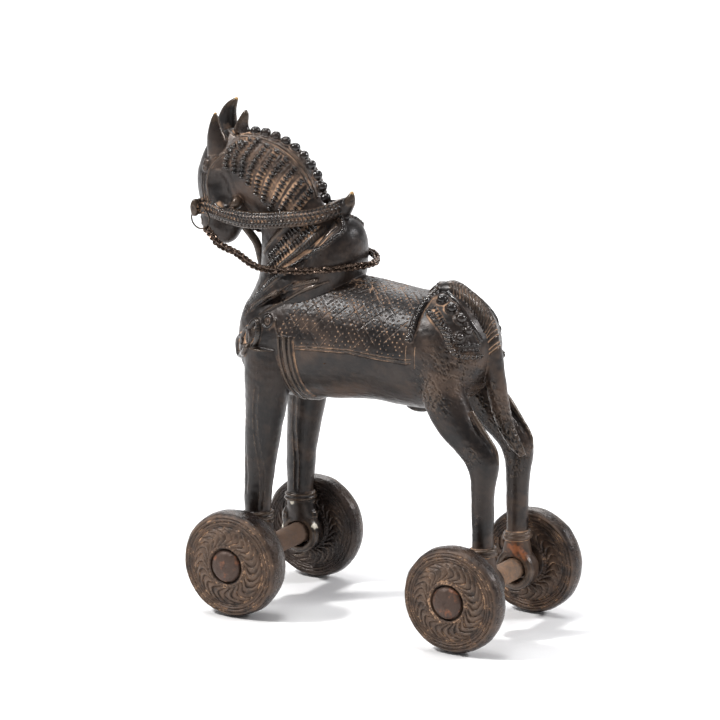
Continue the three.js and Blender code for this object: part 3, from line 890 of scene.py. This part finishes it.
def incise_cloth(skin, side):
    rng = np.random.default_rng(3 if side < 0 else 4)
    spacing = 3.9
    for lean in (-1, 1):
        for x0 in np.arange(-110, 90, spacing * 1.55):
            s = np.arange(0.8, CLOTH_ARC - 1.0, 0.5)
            x = x0 + lean * s * 0.92 + rng.normal(0, 0.25)
            inside = (x > front_edge(s) + 1) & (x < rear_edge(s) - 1)
            # a hand-cut line comes and goes
            inside &= np.sin(s * rng.uniform(0.12, 0.3) + rng.uniform(0, 6)) > -0.25
            runs = np.split(np.arange(len(s)), np.where(np.diff(inside.astype(int)) != 0)[0] + 1)
            for run in runs:
                if inside[run[0]] and len(run) > 6:
                    i, j = run[0], run[-1]
                    depth = rng.uniform(0.14, 0.3)
                    skin.groove(cloth_line(x[i], s[i], x[j], s[j], side), 0.45, depth, rng.uniform(0.1, 0.7))
    rows = np.arange(1.6, CLOTH_ARC - 0.5, 2.15)
    for i, s in enumerate(rows):
        for x in np.arange(-60, 40, 3.1) + (i % 2) * 1.55:
            xs, ss = x + rng.normal(0, 0.3), s + rng.normal(0, 0.3)
            if front_edge(ss) + 1.2 < xs < rear_edge(ss) - 1.2 and rng.random() < 0.93:
                (at, _, _) = cloth_line(xs, ss, xs + 0.5, ss, side)
                skin.groove([at], rng.uniform(0.55, 0.7), rng.uniform(0.3, 0.45), rng.uniform(0.75, 1.15))
    for s in (0.0, -2.1):
        skin.groove(cloth_line(-40.5, s * 0.6 - 0.3, 27, s + 0.2, side, 0.25), 0.48, 0.34, 0.5)
    skin.groove(cloth_line(24.4, 7, 24.2, -2.4, side), 0.45, 0.3, 0.6)
    skin.groove(cloth_line(29.8, 6, 29.6, -4.6, side), 0.45, 0.34, 0.7)
    for _ in range(16):
        x, s, turn = rng.uniform(-17, 1), rng.uniform(33, 45.5), rng.uniform(-1.2, 1.2)
        long = rng.uniform(2.5, 5)
        end = x + long * math.sin(turn), s - long * math.cos(turn)
        skin.groove(cloth_line(x, s, *end, side, 0.5), 0.5, 0.3, 0.9)


def tail_line(t, degrees):
    """Points on the tail at places t from its root to its tip, at angles from its underside."""
    t, a = np.broadcast_arrays(t, np.radians(degrees))
    ribs = spline(np.array([r + [0.0] * (6 - len(r)) for r in TAIL], float), t)
    x0, z0, x1, z1, half, middle_y = ribs.T
    k = (1 - np.cos(a)) / 2
    return snap(np.stack([x0 + (x1 - x0) * k, middle_y + half * np.sin(a), z0 + (z1 - z0) * k], 1))[0]


def incise_tail(skin):
    u = np.linspace(0, 1, 7)
    for side in (-1, 1):
        for t in np.arange(0.1, 0.37, 0.021):
            skin.groove(tail_line(t + 0.075 * u, side * (172 - 95 * u)), 0.85, 0.6, 0.2)
        for t in (0.39, 0.405):
            skin.groove(tail_line(t + 0.03 * u, side * (178 - 120 * u)), 0.5, 0.35, 0.95)
    for t in (0.432, 0.452, 0.482, 0.497):
        skin.groove(tail_line(t, np.arange(75, 290, 12)), 0.55, 0.38, 0.95)
    skin.groove(tail_line(np.linspace(0.04, 0.36, 12), 180), 0.5, 0.3, 0.2)


def incise(skin):
    skin.index()
    for side in (-1, 1):
        incise_cloth(skin, side)
        y = side * FORE_EYE_Y
        for z0, z1, x in ((118, 52, -61.5), (104, 60, -70.5)):
            line = snap([(x + 1.2 * math.sin(z / 9), z) for z in np.linspace(z0, z1, 12)], side)[0]
            skin.groove(line, 1.5, 0.35, 0.0)
        inner = snap([(-64.5 + math.sin(z / 8), y - side * 12, z) for z in np.linspace(108, 52, 12)])[0]
        skin.groove(inner, 1.6, 0.4, 0.0)
        # the collar's foot, in front of its rim
        rim = np.array(COLLAR_RIM[1:]) * [1, side, 1] + [-2.6, 0, 1.2]
        skin.groove(snap(rim)[0], 1.5, 0.7, 0.45)
        back_of_girth = torso_ring(-40.6, 20, 94, 14) * [1, side, 1]
        back_of_girth[:, 0] += np.interp(back_of_girth[:, 2], [108, 118, 142], [2.4, 1.6, 0.0])
        skin.groove(snap(back_of_girth)[0], 0.9, 0.4, 0.5)
    incise_tail(skin)


# Long dents in the skin: from [x, y, z] to [x, y, z], reach, depth. Less earth and less film are put in them
# as painted shade, so that they show darker.
HOLLOWS = [
    [[-94.5, -12.6, 218], [-92.5, -13, 211.5], 8.0, 3.6],
    [[-94.5, 12.6, 218], [-92.5, 13, 211.5], 8.0, 3.6],
]
ROUGH = [
    [48, -20, 140, 16], [52, 0, 120, 16], [60, 0, 105, 18], [66, 2, 90, 16], [40, -24, 130, 13],
    [60, -18, 96, 9], [48, 20, 140, 16], [60, 18, 96, 9], [42, -22, 122, 10],
]
DUSTY = [
    [-84, 0, 241, 10], [-62, 0, 236, 12], [-47, 0, 222, 9], [-104, -12, 205, 7], [-104, 12, 205, 7],
    [-38, -14, 198, 9], [-52, -16, 186, 9], [-38, 14, 198, 9], [-42, -12, 212, 9], [36, -16, 168, 8],
    [36, 16, 168, 8], [-100, 5, 243, 6], [-90, 0, 246, 6],
    [-62, -20, 32, 16], [66, -20, 32, 20], [66, 20, 34, 22], [-72, -22, 140, 9], [-70, -14, 222, 10],
    [-56, -13, 218, 9],
    [-97, -12, 206.5, 4], [-84, -15, 205, 6], [-68, -17, 204, 6], [-50, -17, 209, 5],
    [-97, 12, 206.5, 4], [-84, 15, 206, 4], [-50, 17, 209, 5],
]
EARTHEN = [
    [-72, 0, 232, 15], [-56, 0, 222, 14], [-84, -8, 234, 8], [-46, -10, 200, 10], [-46, 10, 200, 10],
    [-96, 0, 236, 7], [46, 0, 160, 13], [-98, 0, 210, 5], [34, -12, 170, 8], [-74, -11, 230, 10],
    [-62, -13, 220, 12], [-52, -13, 212, 9], [-88, -10, 228, 5], [-74, 11, 230, 10], [-62, 13, 220, 12],
    [-52, 13, 212, 9], [-56, -17, 190, 7], [-56, 17, 190, 7], [-100, 4.4, 243, 4.5],
]
BROWNED = [
    [-70, 0, 224, 30], [-44, 0, 198, 20], [58, 0, 126, 22], [44, -22, 138, 18], [-30, -20, 150, 14],
    [-64, -20, 34, 20], [66, -20, 36, 22], [66, 20, 40, 26], [-20, 0, 118, 26],
]
GILT = [[-99.2, -8, 254.6, 1.9], [-95.6, 8, 259.8, 1.9], [-22.3, 0, 219.8, 2.6]]
PUTTY = [[-68.2, 15.4, 44.2, 2.2], [-55.4, 18, 32.6, 3.0], [-57.6, 16.4, 36, 2.2], [-75.6, 16.4, 31, 2.8]]
RUST = [[66, 13, 39.5, 6.0], [70.5, 13.5, 36.5, 4.5]]


def finish_casting():
    skin = Skin(SKIN_MESH)
    skin.v = skin.averaged(skin.v, 1, 0.6)
    incise(skin)
    shine = skin.marked(SHINE)
    normals = skin.normals()
    v = skin.v
    rough = near(v, ROUGH)
    dents = noise(v, 34, 11, 2) * 0.32 + noise(v, 9, 12, 2) * 0.1
    grain = noise(v, 2.3, 13, 3)
    pits = rise(grain, 0.1, 0.7) * (0.02 + 0.75 * rough)
    sunk = np.zeros(len(v))
    for a, b, reach, depth in HOLLOWS:
        a, way = np.array(a), np.subtract(b, a)
        along = np.clip((v - a) @ way / (way @ way), 0, 1)
        d = np.linalg.norm(v - a - np.outer(along, way), axis=1) / reach
        sunk = np.maximum(sunk, depth * np.clip(1 - d * d, 0, 1) ** 2)
    calm = 1 - 0.5 * rise(v[:, 2], 225, 232)
    v += normals * (dents * calm - sunk - skin.depth - pits)[:, None]
    skin.v = v
    normals = skin.normals()
    hollow = ((skin.averaged(v, 10) - v) * normals).sum(1)
    broad = ((skin.averaged(v, 60) - v) * normals).sum(1)
    patch = noise(v, 16, 21, 3)
    fine = noise(v, 3.2, 22, 2)
    dusty = near(v, DUSTY)
    crevice = rise(hollow, 0.02, 0.13) + 0.45 * dusty * rise(broad, 0.1, 0.6)
    dirt = crevice * (0.3 + 0.62 * dusty + 0.25 * patch)
    dirt += skin.averaged(skin.cut_dirt, 1, 0.3) * (0.75 + 0.35 * patch)
    dirt += 0.42 * rise(dusty + 0.3 * fine + 0.3 * patch, 0.9, 1.45)
    dirt = np.maximum(dirt, near(v, EARTHEN) * (0.54 + 0.16 * patch + 0.12 * fine))
    # painted shade: less earth in the cheek dents, so that they show darker
    dirt *= 1 - 0.6 * rise(sunk, 1.0, 2.2)
    dirt = np.maximum(dirt, 0.42 * rough * rise(grain + 0.5 * patch, 0.0, 0.9))
    wear = rise(-hollow, 0.025, 0.12) + 0.4 * rise(-broad, 0.2, 0.7)
    film = 0.2 + 0.4 * patch + 0.6 * near(v, BROWNED)
    float_layer(skin.mesh, "dirt", dirt * (1 - 0.9 * shine))
    float_layer(skin.mesh, "wear", wear * (1 - 0.9 * shine))
    # the film share is lowered in the cheek dents as painted shade, which darkens them
    float_layer(skin.mesh, "film", film - 0.6 * rise(sunk, 0.5, 2.5))
    float_layer(skin.mesh, "shine", shine)
    float_layer(skin.mesh, "gold", near(v, GILT))
    float_layer(skin.mesh, "putty", rise(near(v, PUTTY) + 0.25 * fine, 0.55, 0.75))
    float_layer(skin.mesh, "rust", near(v, RUST) * (0.8 + 0.4 * fine))
    mesh = skin.mesh
    mesh.vertices.foreach_set("co", row(skin.v).ravel())
    piece = bpy.data.objects.new("horse_bronze", mesh)
    set_smooth(piece)
    bpy.context.scene.collection.objects.link(piece)
    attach(piece, "horse")
    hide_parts("horse_casting")
    return piece


HORSE = finish_casting()


# ---- wheels, axles and rings ----
HUB_FACE = 8.8
PLAIN, STOUT = (0.0, 0.0), (3.2, 1.3)  # how much thicker a wheel is inwards and outwards


def wheel_outline(inner, outer):
    """Radius and distance from the wheel's plane, once round the section."""
    dish = [(6.2, -6.35), (6.5, -6.9), (6.7, -5.9 - inner)] if inner else []
    return np.array([
        (4.9, -6.0), (5.2, -6.3), *dish, (9, -6.3 - inner), (11, -5.6 - inner), (21.5, -5.4 - inner),
        (24, -5.9 - inner), (26.2, -4.9 - inner), (27.5, -3.2 - inner / 2), (28, -0.8 - inner / 2), (28, 1.0),
        (27.5, 3.4 + outer / 2), (26.4, 5.0 + outer / 2), (24.6, 6.1 + outer / 3), (21, 6.3), (12.5, 7.9),
        (9.8, 8.7), (9.3, 8.4), (9.05, 7.2), (8.6, 6.9), (4.9, 7.0), (4.9, 4), (4.9, 0), (4.9, -3),
    ])


def crescents(r, turn, count, lean, start):
    """Height of overlapping crescents between the hub and the rim, from 0 to 1."""
    u = np.clip((r - 11.6) / (20.4 - 11.6), 0, 1)
    bulge = lean * (0.34 * np.sin(math.pi * u**0.85) - 0.10 * u)
    f = lean * (count * (turn - bulge) / (2 * math.pi) + start) % 1.0
    step = rise(f, 0.0, 0.1) * np.clip(1 - (np.clip(f - 0.1, 0, 1) / 0.9) ** 2, 0, 1)
    window = rise(r, 10.9, 12.0) * (1 - rise(r, 19.8, 20.5))
    return step * window


# Raised rings on a wheel's face: height, radius, half width, number of grains.
RIM_RINGS = [(0.9, 25.7, 0.75, 0), (1.0, 24.0, 0.72, 110), (0.9, 22.4, 0.6, 0)]
RIM_RINGS += [(0.7, 21.2, 0.45, 0), (0.9, 10.4, 0.8, 34)]


def bump_ring(r, turn, at, half, count):
    """A ring of small grains at radius at. count 0 makes it plain."""
    across = np.clip(1 - ((r - at) / half) ** 2, 0, 1)
    return across * (1 if not count else 0.35 + 0.65 * np.abs(np.cos(turn * count / 2)))


def wheel(name, node, seed, lean, inner_dirt_and_film_scale, build):
    rng = np.random.default_rng(seed)
    outline = wheel_outline(*build)
    closed = np.vstack([outline, outline[:1]])
    run = np.concatenate([[0], np.cumsum(np.linalg.norm(np.diff(closed, axis=0), axis=1))])
    columns, rows = 210, 400
    s = np.linspace(0, run[-1], columns, endpoint=False)
    r0, y0 = np.interp(s, run, closed[:, 0]), np.interp(s, run, closed[:, 1])
    for _ in range(2):
        r0 = (np.roll(r0, 1) + 2 * r0 + np.roll(r0, -1)) / 4
        y0 = (np.roll(y0, 1) + 2 * y0 + np.roll(y0, -1)) / 4
    turn = round_angles(rows)
    T, R = np.meshgrid(turn, r0, indexing="ij")
    Y = np.broadcast_to(y0, T.shape).copy()
    shape = np.stack([R * np.cos(T), Y, R * np.sin(T)], -1).reshape(-1, 3)
    uneven = noise(shape, 14, seed, 2).reshape(T.shape)
    fine = noise(shape, 2.2, seed + 50, 2).reshape(T.shape)
    patch = noise(shape, 9, seed + 5, 3).reshape(T.shape)
    grit = noise(shape, 1.1, seed + 90, 2).reshape(T.shape)
    # the rings and crescents were laid in wax by hand, so their middle is off the hub's
    r = R + 0.18 * np.sin(T + rng.uniform(0, 6)) + 0.1 * np.sin(2 * T + rng.uniform(0, 6))
    leaves = crescents(r + 0.25 * uneven, T, int(rng.integers(23, 27)), lean, rng.random())
    rings = sum(tall * bump_ring(r, T, at, half, count) for tall, at, half, count in RIM_RINGS)
    outside = Y > 0
    face = np.where(outside, rise(Y, 4.6, 5.8), rise(-Y - build[0], 4.2, 5.4)) * rise(R, 9.4, 9.9)
    relief = (1.0 * leaves + rings) * face * (0.88 + 0.2 * uneven)
    tread = rise(R, 25.5, 27.6) * (1 - face)
    Yn = Y + np.sign(Y) * face * (relief + 0.16 * uneven + 0.16 * fine + 0.09 * grit - 0.4)
    # many years of rolling left low flats on the tread
    flats = 0.22 * np.abs(np.sin(4.5 * T + rng.uniform(0, 6)))
    Rn = R + tread * (0.12 * uneven + 0.06 * fine - 0.1 - flats)
    points = np.stack([Rn * np.cos(T), Yn, Rn * np.sin(T)], -1).reshape(-1, 3)
    centre = (middle(node) - ORIGIN) / MM
    lo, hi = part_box(node)
    facing = 1 if middle(node)[1] > middle("front_axle")[1] else -1
    plane = ((hi if facing > 0 else lo)[1] - ORIGIN[1]) / MM - facing * HUB_FACE
    points[:, 1] *= facing
    points += [centre[0], plane, centre[2]]
    faces = grid_faces(rows, columns)
    if facing > 0:
        faces = [f[::-1] for f in faces]
    piece = Shape().add(points, faces).object(name)
    set_smooth(piece)
    # dirt and film are scaled down on the inner face by a share given per wheel, which makes that face darker
    dirt_and_film_scale = np.where(outside, 1.0, inner_dirt_and_film_scale)
    low = (1 - rise(relief, 0.02, 0.3)) * face
    dirt = low * (0.3 + 0.3 * rise(patch + 0.5 * grit, -0.4, 0.6))
    dirt += 0.5 * rise(patch + 0.5 * fine + 0.5 * grit, 0.1, 0.9) * face
    dirt += 0.4 * np.clip(1 - np.abs(R - 10.2) / 2, 0, 1) * face
    dirt += 0.3 * (1 - face) * rise(patch + 0.5 * fine, 0.5, 1.1) * rise(R, 24, 27)
    float_layer(piece.data, "dirt", (dirt * dirt_and_film_scale).ravel())
    float_layer(piece.data, "wear", (rise(relief, 0.5, 1.0) * face + 0.2 * tread).ravel())
    # painted shade: the film is lowered in the low places between the crescents and rings, so the grooves
    # show darker
    float_layer(piece.data, "film", ((0.5 + 0.3 * face * (1 - low) + 0.4 * patch) * dirt_and_film_scale).ravel())
    float_layer(piece.data, "shine", (tread * 0.5).ravel())
    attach(piece, node)
    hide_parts(node)
    return piece


WHEELS = [
    wheel("front_left_wheel", "wheel_front_left", 31, -1, 0.7, STOUT),
    wheel("front_right_wheel", "wheel_front_right", 32, 1, 0.35, PLAIN),
    wheel("rear_left_wheel", "wheel_rear_left", 33, -1, 0.8, PLAIN),
    wheel("rear_right_wheel", "wheel_rear_right", 34, 1, 0.9, PLAIN),
]


def axle(name, node, soot):
    """A hammered iron axle with reduced ends and peened heads."""
    lo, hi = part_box(node)
    x, z = (middle(node)[[0, 2]] - ORIGIN[[0, 2]]) / MM
    y = (middle(node)[1] - ORIGIN[1]) / MM
    half = (hi[1] - lo[1]) / MM / 2
    end = [
        (0.05, half), (2.4, half - 0.05), (4.6, half - 0.25), (6.4, half - 0.7), (7.7, half - 1.3),
        (8.3, half - 2.3), (8.2, half - 3.2), (7.2, half - 3.4), (4.6, half - 3.4), (4.6, half - 10),
        (4.6, half - 17.2), (5.3, half - 17.25), (5.65, half - 17.7),
    ]
    body = [(5.65, v) for v in np.linspace(half - 18.5, -half + 18.5, 60)]
    profile = np.array([*end, *body, *[(r, -v) for r, v in end[::-1]]])
    steps = 96
    verts, faces = spun(profile, steps)
    radial = np.hypot(verts[:, 0], verts[:, 2])
    rod_part = (np.abs(verts[:, 1]) < half - 17) & (radial > 4.9)
    head_part = np.abs(verts[:, 1]) > half - 3.3
    flats = noise(verts, 6.5, 41, 2)
    grain = noise(verts, 1.6, 42, 2)
    verts[:, [0, 2]] *= (1 + (rod_part * (0.035 * flats + 0.012 * grain - 0.012)))[:, None]
    verts[:, 1] -= np.sign(verts[:, 1]) * head_part * np.clip(0.35 + 0.35 * flats + 0.06 * grain, 0, 1) * 0.8
    piece = Shape().add(verts + [x, y, z], faces).object(name)
    set_smooth(piece)
    float_layer(piece.data, "head", head_part.astype(float))
    float_layer(piece.data, "soot", np.full(len(verts), soot))
    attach(piece, node)
    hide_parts(node)
    return piece


AXLES = [axle("front_axle_iron", "front_axle", 0.75), axle("rear_axle_iron", "rear_axle", 0.1)]


def bit_ring(side_name, side):
    """A wire bent to a ring with its ends lapped over each other."""
    turn = np.radians(np.linspace(-70, 312, 90))
    lap = np.linspace(-1, 1, 90)
    wire = np.stack(
        [
            RING_AT[0] + RING_R * np.cos(turn),
            side * RING_AT[1] + 0.34 * lap**5,
            RING_AT[2] + RING_R * np.sin(turn) * (1 + 0.02 * np.sin(3 * turn)),
        ],
        1,
    )
    piece = Shape().add(*tube(wire, RING_WIRE, RING_WIRE, sides=12)).object(f"{side_name}_bit_ring")
    set_smooth(piece)
    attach(piece, f"bit_ring_{side_name}")
    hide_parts(f"bit_ring_{side_name}")
    return piece


RINGS = [bit_ring("left", -1), bit_ring("right", 1)]


# ---- materials ----
def linear(r, g, b):
    """A display colour from 0 to 255 as linear light."""
    return [c / 255 / 12.92 if c <= 10 else ((c / 255 + 0.055) / 1.055) ** 2.4 for c in (r, g, b)] + [1.0]


class Paint:
    """A node material, built from the shader back."""

    def __init__(self, name):
        self.material = bpy.data.materials.new(name)
        self.material.use_nodes = True
        self.tree = self.material.node_tree
        self.shader = self.tree.nodes["Principled BSDF"]
        self.place = self.node("TexCoord", out="Object")

    def put(self, socket, value):
        if isinstance(value, bpy.types.NodeSocket):
            self.tree.links.new(value, socket)
        else:
            socket.default_value = value

    def node(self, kind, inputs=None, out=0, **settings):
        made = self.tree.nodes.new("ShaderNode" + kind)
        for name, value in settings.items():
            setattr(made, name, value)
        for key, value in (inputs or {}).items():
            self.put(made.inputs[key], value)
        return made.outputs[out]

    def noise(self, scale, detail=4.0, rough=0.6):
        inputs = {"Vector": self.place, "Scale": scale, "Detail": detail, "Roughness": rough}
        return self.node("TexNoise", inputs)

    def ramp(self, value, low, high, to_low=0.0, to_high=1.0):
        inputs = {"Value": value, "From Min": low, "From Max": high, "To Min": to_low, "To Max": to_high}
        return self.node("MapRange", inputs, interpolation_type="SMOOTHSTEP")

    def mix(self, share, a, b):
        return self.node("MixRGB", {"Fac": share, "Color1": a, "Color2": b})

    def math(self, operation, a, b, clamp=False):
        return self.node("Math", {0: a, 1: b}, operation=operation, use_clamp=clamp)

    def plus(self, a, b):
        return self.math("ADD", a, b)

    def minus(self, a, b):
        return self.math("SUBTRACT", a, b)

    def times(self, a, b):
        return self.math("MULTIPLY", a, b)

    def layer(self, name):
        return self.node("Attribute", out="Fac", attribute_name=name)

    def bump(self, height, distance, strength):
        return self.node("Bump", {"Height": height, "Distance": distance, "Strength": strength})

    def finish(self, **sockets):
        for name, value in sockets.items():
            self.put(self.shader.inputs[name.replace("_", " ")], value)
        return self.material


RUBBED, PORE = linear(130, 110, 92), linear(28, 22, 19)
EARTH_THIN, EARTH_THICK = linear(120, 97, 80), linear(198, 160, 128)


def bronze(name, dark, warm, film, grit):
    """Old cast bronze: a dark glossy patina, a brown film, earth in the hollows and rubbed edges. Where the
    film layer holds painted shade, less film shows and the colour is darker.
    """
    p = Paint(name)
    tone = p.noise(45, 5, 0.65)
    mottle = p.noise(420, 5, 0.7)
    speck = p.noise(1500, 3, 0.6)
    dirt, wear, film_and_shade, shine = (p.layer(layer) for layer in ("dirt", "wear", "film", "shine"))
    base = p.mix(p.ramp(tone, 0.4, 0.64), dark, warm)
    brown = p.ramp(p.plus(film_and_shade, p.times(mottle, 0.6)), 0.5, 1.3)
    film_and_shade_share = p.times(brown, p.minus(1.0, shine))
    base = p.mix(p.times(film_and_shade_share, 0.8), base, film)
    base = p.mix(p.times(p.ramp(wear, 0.4, 1.0), 0.24), base, RUBBED)
    heaped = p.plus(dirt, p.times(p.minus(mottle, 0.5), 0.9))
    dirt_share = p.ramp(heaped, 0.22, 0.7)
    earth = p.mix(p.ramp(heaped, 0.5, 1.05), EARTH_THIN, EARTH_THICK)
    colour = p.mix(p.times(dirt_share, 0.92), base, earth)
    colour = p.mix(p.ramp(speck, 0.62, 0.8, 0.0, 0.4), colour, PORE)
    clean = p.minus(1.0, dirt_share)
    dull = p.plus(p.times(dirt_share, 0.5), p.times(film_and_shade_share, 0.14))
    glossy = p.times(p.math("MAXIMUM", shine, p.times(wear, 0.7)), 0.2)
    roughness = p.math("SUBTRACT", p.plus(p.ramp(mottle, 0.25, 0.75, 0.28, 0.42), dull), glossy, clamp=True)
    height = p.plus(p.times(mottle, 0.5), p.times(speck, 0.25))
    height = p.plus(height, p.times(dirt_share, 0.5))
    return p, colour, clean, roughness, p.bump(height, grit, 0.8)


def horse_material():
    p, colour, clean, roughness, normal = bronze(
        "patinated_bronze", linear(25, 21, 20), linear(48, 39, 34), linear(88, 70, 58), 0.0003,
    )
    colour = p.mix(p.ramp(p.layer("rust"), 0.3, 0.9), colour, linear(150, 92, 58))
    colour = p.mix(p.ramp(p.layer("gold"), 0.25, 0.8), colour, linear(190, 152, 98))
    putty = p.layer("putty")
    colour = p.mix(putty, colour, linear(226, 218, 200))
    metal = p.times(p.times(clean, p.minus(1.0, putty)), 0.3)
    coat = p.times(p.layer("shine"), 0.7)
    look = {"Base_Color": colour, "Metallic": metal, "Roughness": roughness, "Normal": normal}
    return p.finish(**look, Coat_Weight=coat, Coat_Roughness=0.1)


def wheel_material():
    p, colour, clean, roughness, normal = bronze(
        "wheel_bronze_dirty", linear(38, 30, 27), linear(62, 49, 41), linear(104, 82, 66), 0.0007,
    )
    metal = p.times(clean, 0.25)
    return p.finish(Base_Color=colour, Metallic=metal, Roughness=roughness, Normal=normal)


def axle_material():
    p = Paint("rusty_iron_axle")
    patches = p.noise(150, 5, 0.7)
    mottle = p.noise(700, 5, 0.75)
    rod_colour = p.mix(p.ramp(patches, 0.38, 0.62), linear(142, 114, 92), linear(112, 94, 80))
    rod_colour = p.mix(p.ramp(mottle, 0.5, 0.75), rod_colour, linear(176, 132, 96))
    rod_colour = p.mix(p.ramp(mottle, 0.45, 0.2), rod_colour, linear(72, 52, 42))
    rod_colour = p.mix(p.layer("soot"), rod_colour, p.mix(mottle, linear(60, 46, 38), linear(104, 82, 68)))
    head_colour = p.mix(p.ramp(patches, 0.52, 0.66), linear(74, 57, 48), linear(128, 80, 54))
    colour = p.mix(p.layer("head"), rod_colour, head_colour)
    normal = p.bump(p.plus(mottle, patches), 0.0003, 0.7)
    roughness = p.minus(p.ramp(mottle, 0.3, 0.7, 0.65, 0.9), p.times(p.layer("head"), 0.28))
    metal = p.ramp(patches, 0.4, 0.7, 0.35, 0.1)
    return p.finish(Base_Color=colour, Metallic=metal, Roughness=roughness, Normal=normal)


def wire_material(name, dark, light, rough_low, rough_high):
    p = Paint(name)
    mottle = p.noise(900, 4, 0.7)
    colour = p.mix(p.ramp(mottle, 0.35, 0.7), dark, light)
    normal = p.bump(p.noise(2600, 3, 0.6), 0.0001, 0.5)
    roughness = p.ramp(mottle, 0.3, 0.7, rough_low, rough_high)
    metal = p.ramp(mottle, 0.3, 0.75, 0.9, 0.55)
    return p.finish(Base_Color=colour, Metallic=metal, Roughness=roughness, Normal=normal)


def clay_material():
    p = Paint("fired_clay_core")
    grain = p.noise(500, 6, 0.7)
    colour = p.mix(p.ramp(grain, 0.3, 0.7), linear(150, 108, 78), linear(188, 146, 110))
    roughness = p.ramp(grain, 0.3, 0.7, 0.85, 1.0)
    return p.finish(Base_Color=colour, Roughness=roughness, Normal=p.bump(grain, 0.0008, 0.9))


def paint(piece, material):
    piece.data.materials.clear()
    piece.data.materials.append(material)


paint(HORSE, horse_material())
WHEEL_PAINT, AXLE_PAINT = wheel_material(), axle_material()
for piece in WHEELS:
    paint(piece, WHEEL_PAINT)
for piece in AXLES:
    paint(piece, AXLE_PAINT)
RING_PAINT = wire_material("bit_ring_wire", linear(50, 45, 42), linear(98, 88, 78), 0.25, 0.45)
for piece in RINGS:
    paint(piece, RING_PAINT)
paint(CHAIN, wire_material("rein_chain_bronze", linear(34, 28, 25), linear(112, 92, 78), 0.12, 0.32))
PIN_PAINT = wire_material("iron_core_pin", linear(44, 36, 32), linear(96, 66, 44), 0.5, 0.8)
CLAY = clay_material()
for node in ("core_pin_left", "core_pin_right", "clay_core"):
    paint(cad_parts[node], CLAY if node == "clay_core" else PIN_PAINT)


# ---- floor and light ----
def stage():
    """A pale seamless sheet: flat under the toy, then curving up far behind it."""
    across = np.linspace(-6, 6, 7)
    depth = np.concatenate([np.linspace(-6, 3, 8), 3 + 1.6 * np.sin(np.linspace(0.1, 1.57, 14)), [4.6, 4.6]])
    high = np.concatenate([np.zeros(8), 1.6 * (1 - np.cos(np.linspace(0.1, 1.57, 14))), [3.5, 7.0]])
    verts = [
        (x * math.cos(TURN) - y * math.sin(TURN), x * math.sin(TURN) + y * math.cos(TURN), z)
        for y, z in zip(depth, high)
        for x in across
    ]
    n = len(across)
    faces = [
        (i * n + k, i * n + k + 1, (i + 1) * n + k + 1, (i + 1) * n + k)
        for i in range(len(depth) - 1)
        for k in range(n - 1)
    ]
    sheet = mesh_object("paper_sweep", verts, faces)
    set_smooth(sheet)
    p = Paint("white_paper")
    white = p.mix(p.ramp(p.noise(3, 2), 0.3, 0.7), (0.97, 0.97, 0.975, 1), (0.985, 0.985, 0.985, 1))
    paint(sheet, p.finish(Base_Color=white, Roughness=0.9))


def lamp(name, place, size, power, colour=(1, 1, 1), aim=(0, 0, 0.1)):
    data = bpy.data.lights.new(name, "AREA")
    data.shape, data.size, data.energy, data.color = "SQUARE", size, power, colour
    made = bpy.data.objects.new(name, data)
    made.location = place
    made.rotation_mode = "QUATERNION"
    made.rotation_quaternion = (Vector(place) - Vector(aim)).to_track_quat("Z", "Y")
    bpy.context.scene.collection.objects.link(made)


def lights():
    world = bpy.data.worlds.new("studio")
    world.use_nodes = True
    background = world.node_tree.nodes["Background"]
    background.inputs["Color"].default_value = (0.97, 0.97, 1, 1)
    background.inputs["Strength"].default_value = 0.28
    bpy.context.scene.world = world
    # white paper is to show as white
    bpy.context.scene.view_settings.view_transform = "Standard"
    lamp("key", (-1.5, -1.3, 2.2), 0.3, 66, (1, 0.99, 0.98))
    lamp("top", (0.1, -0.2, 2.4), 0.6, 16)
    lamp("rim", (1.7, 0.9, 1.3), 0.35, 24, (0.98, 0.98, 1))
    lamp("backdrop", (-1.2, 2.1, 2.4), 2.0, 75, aim=(-1.2, 2.1, 0))


stage()
lights()
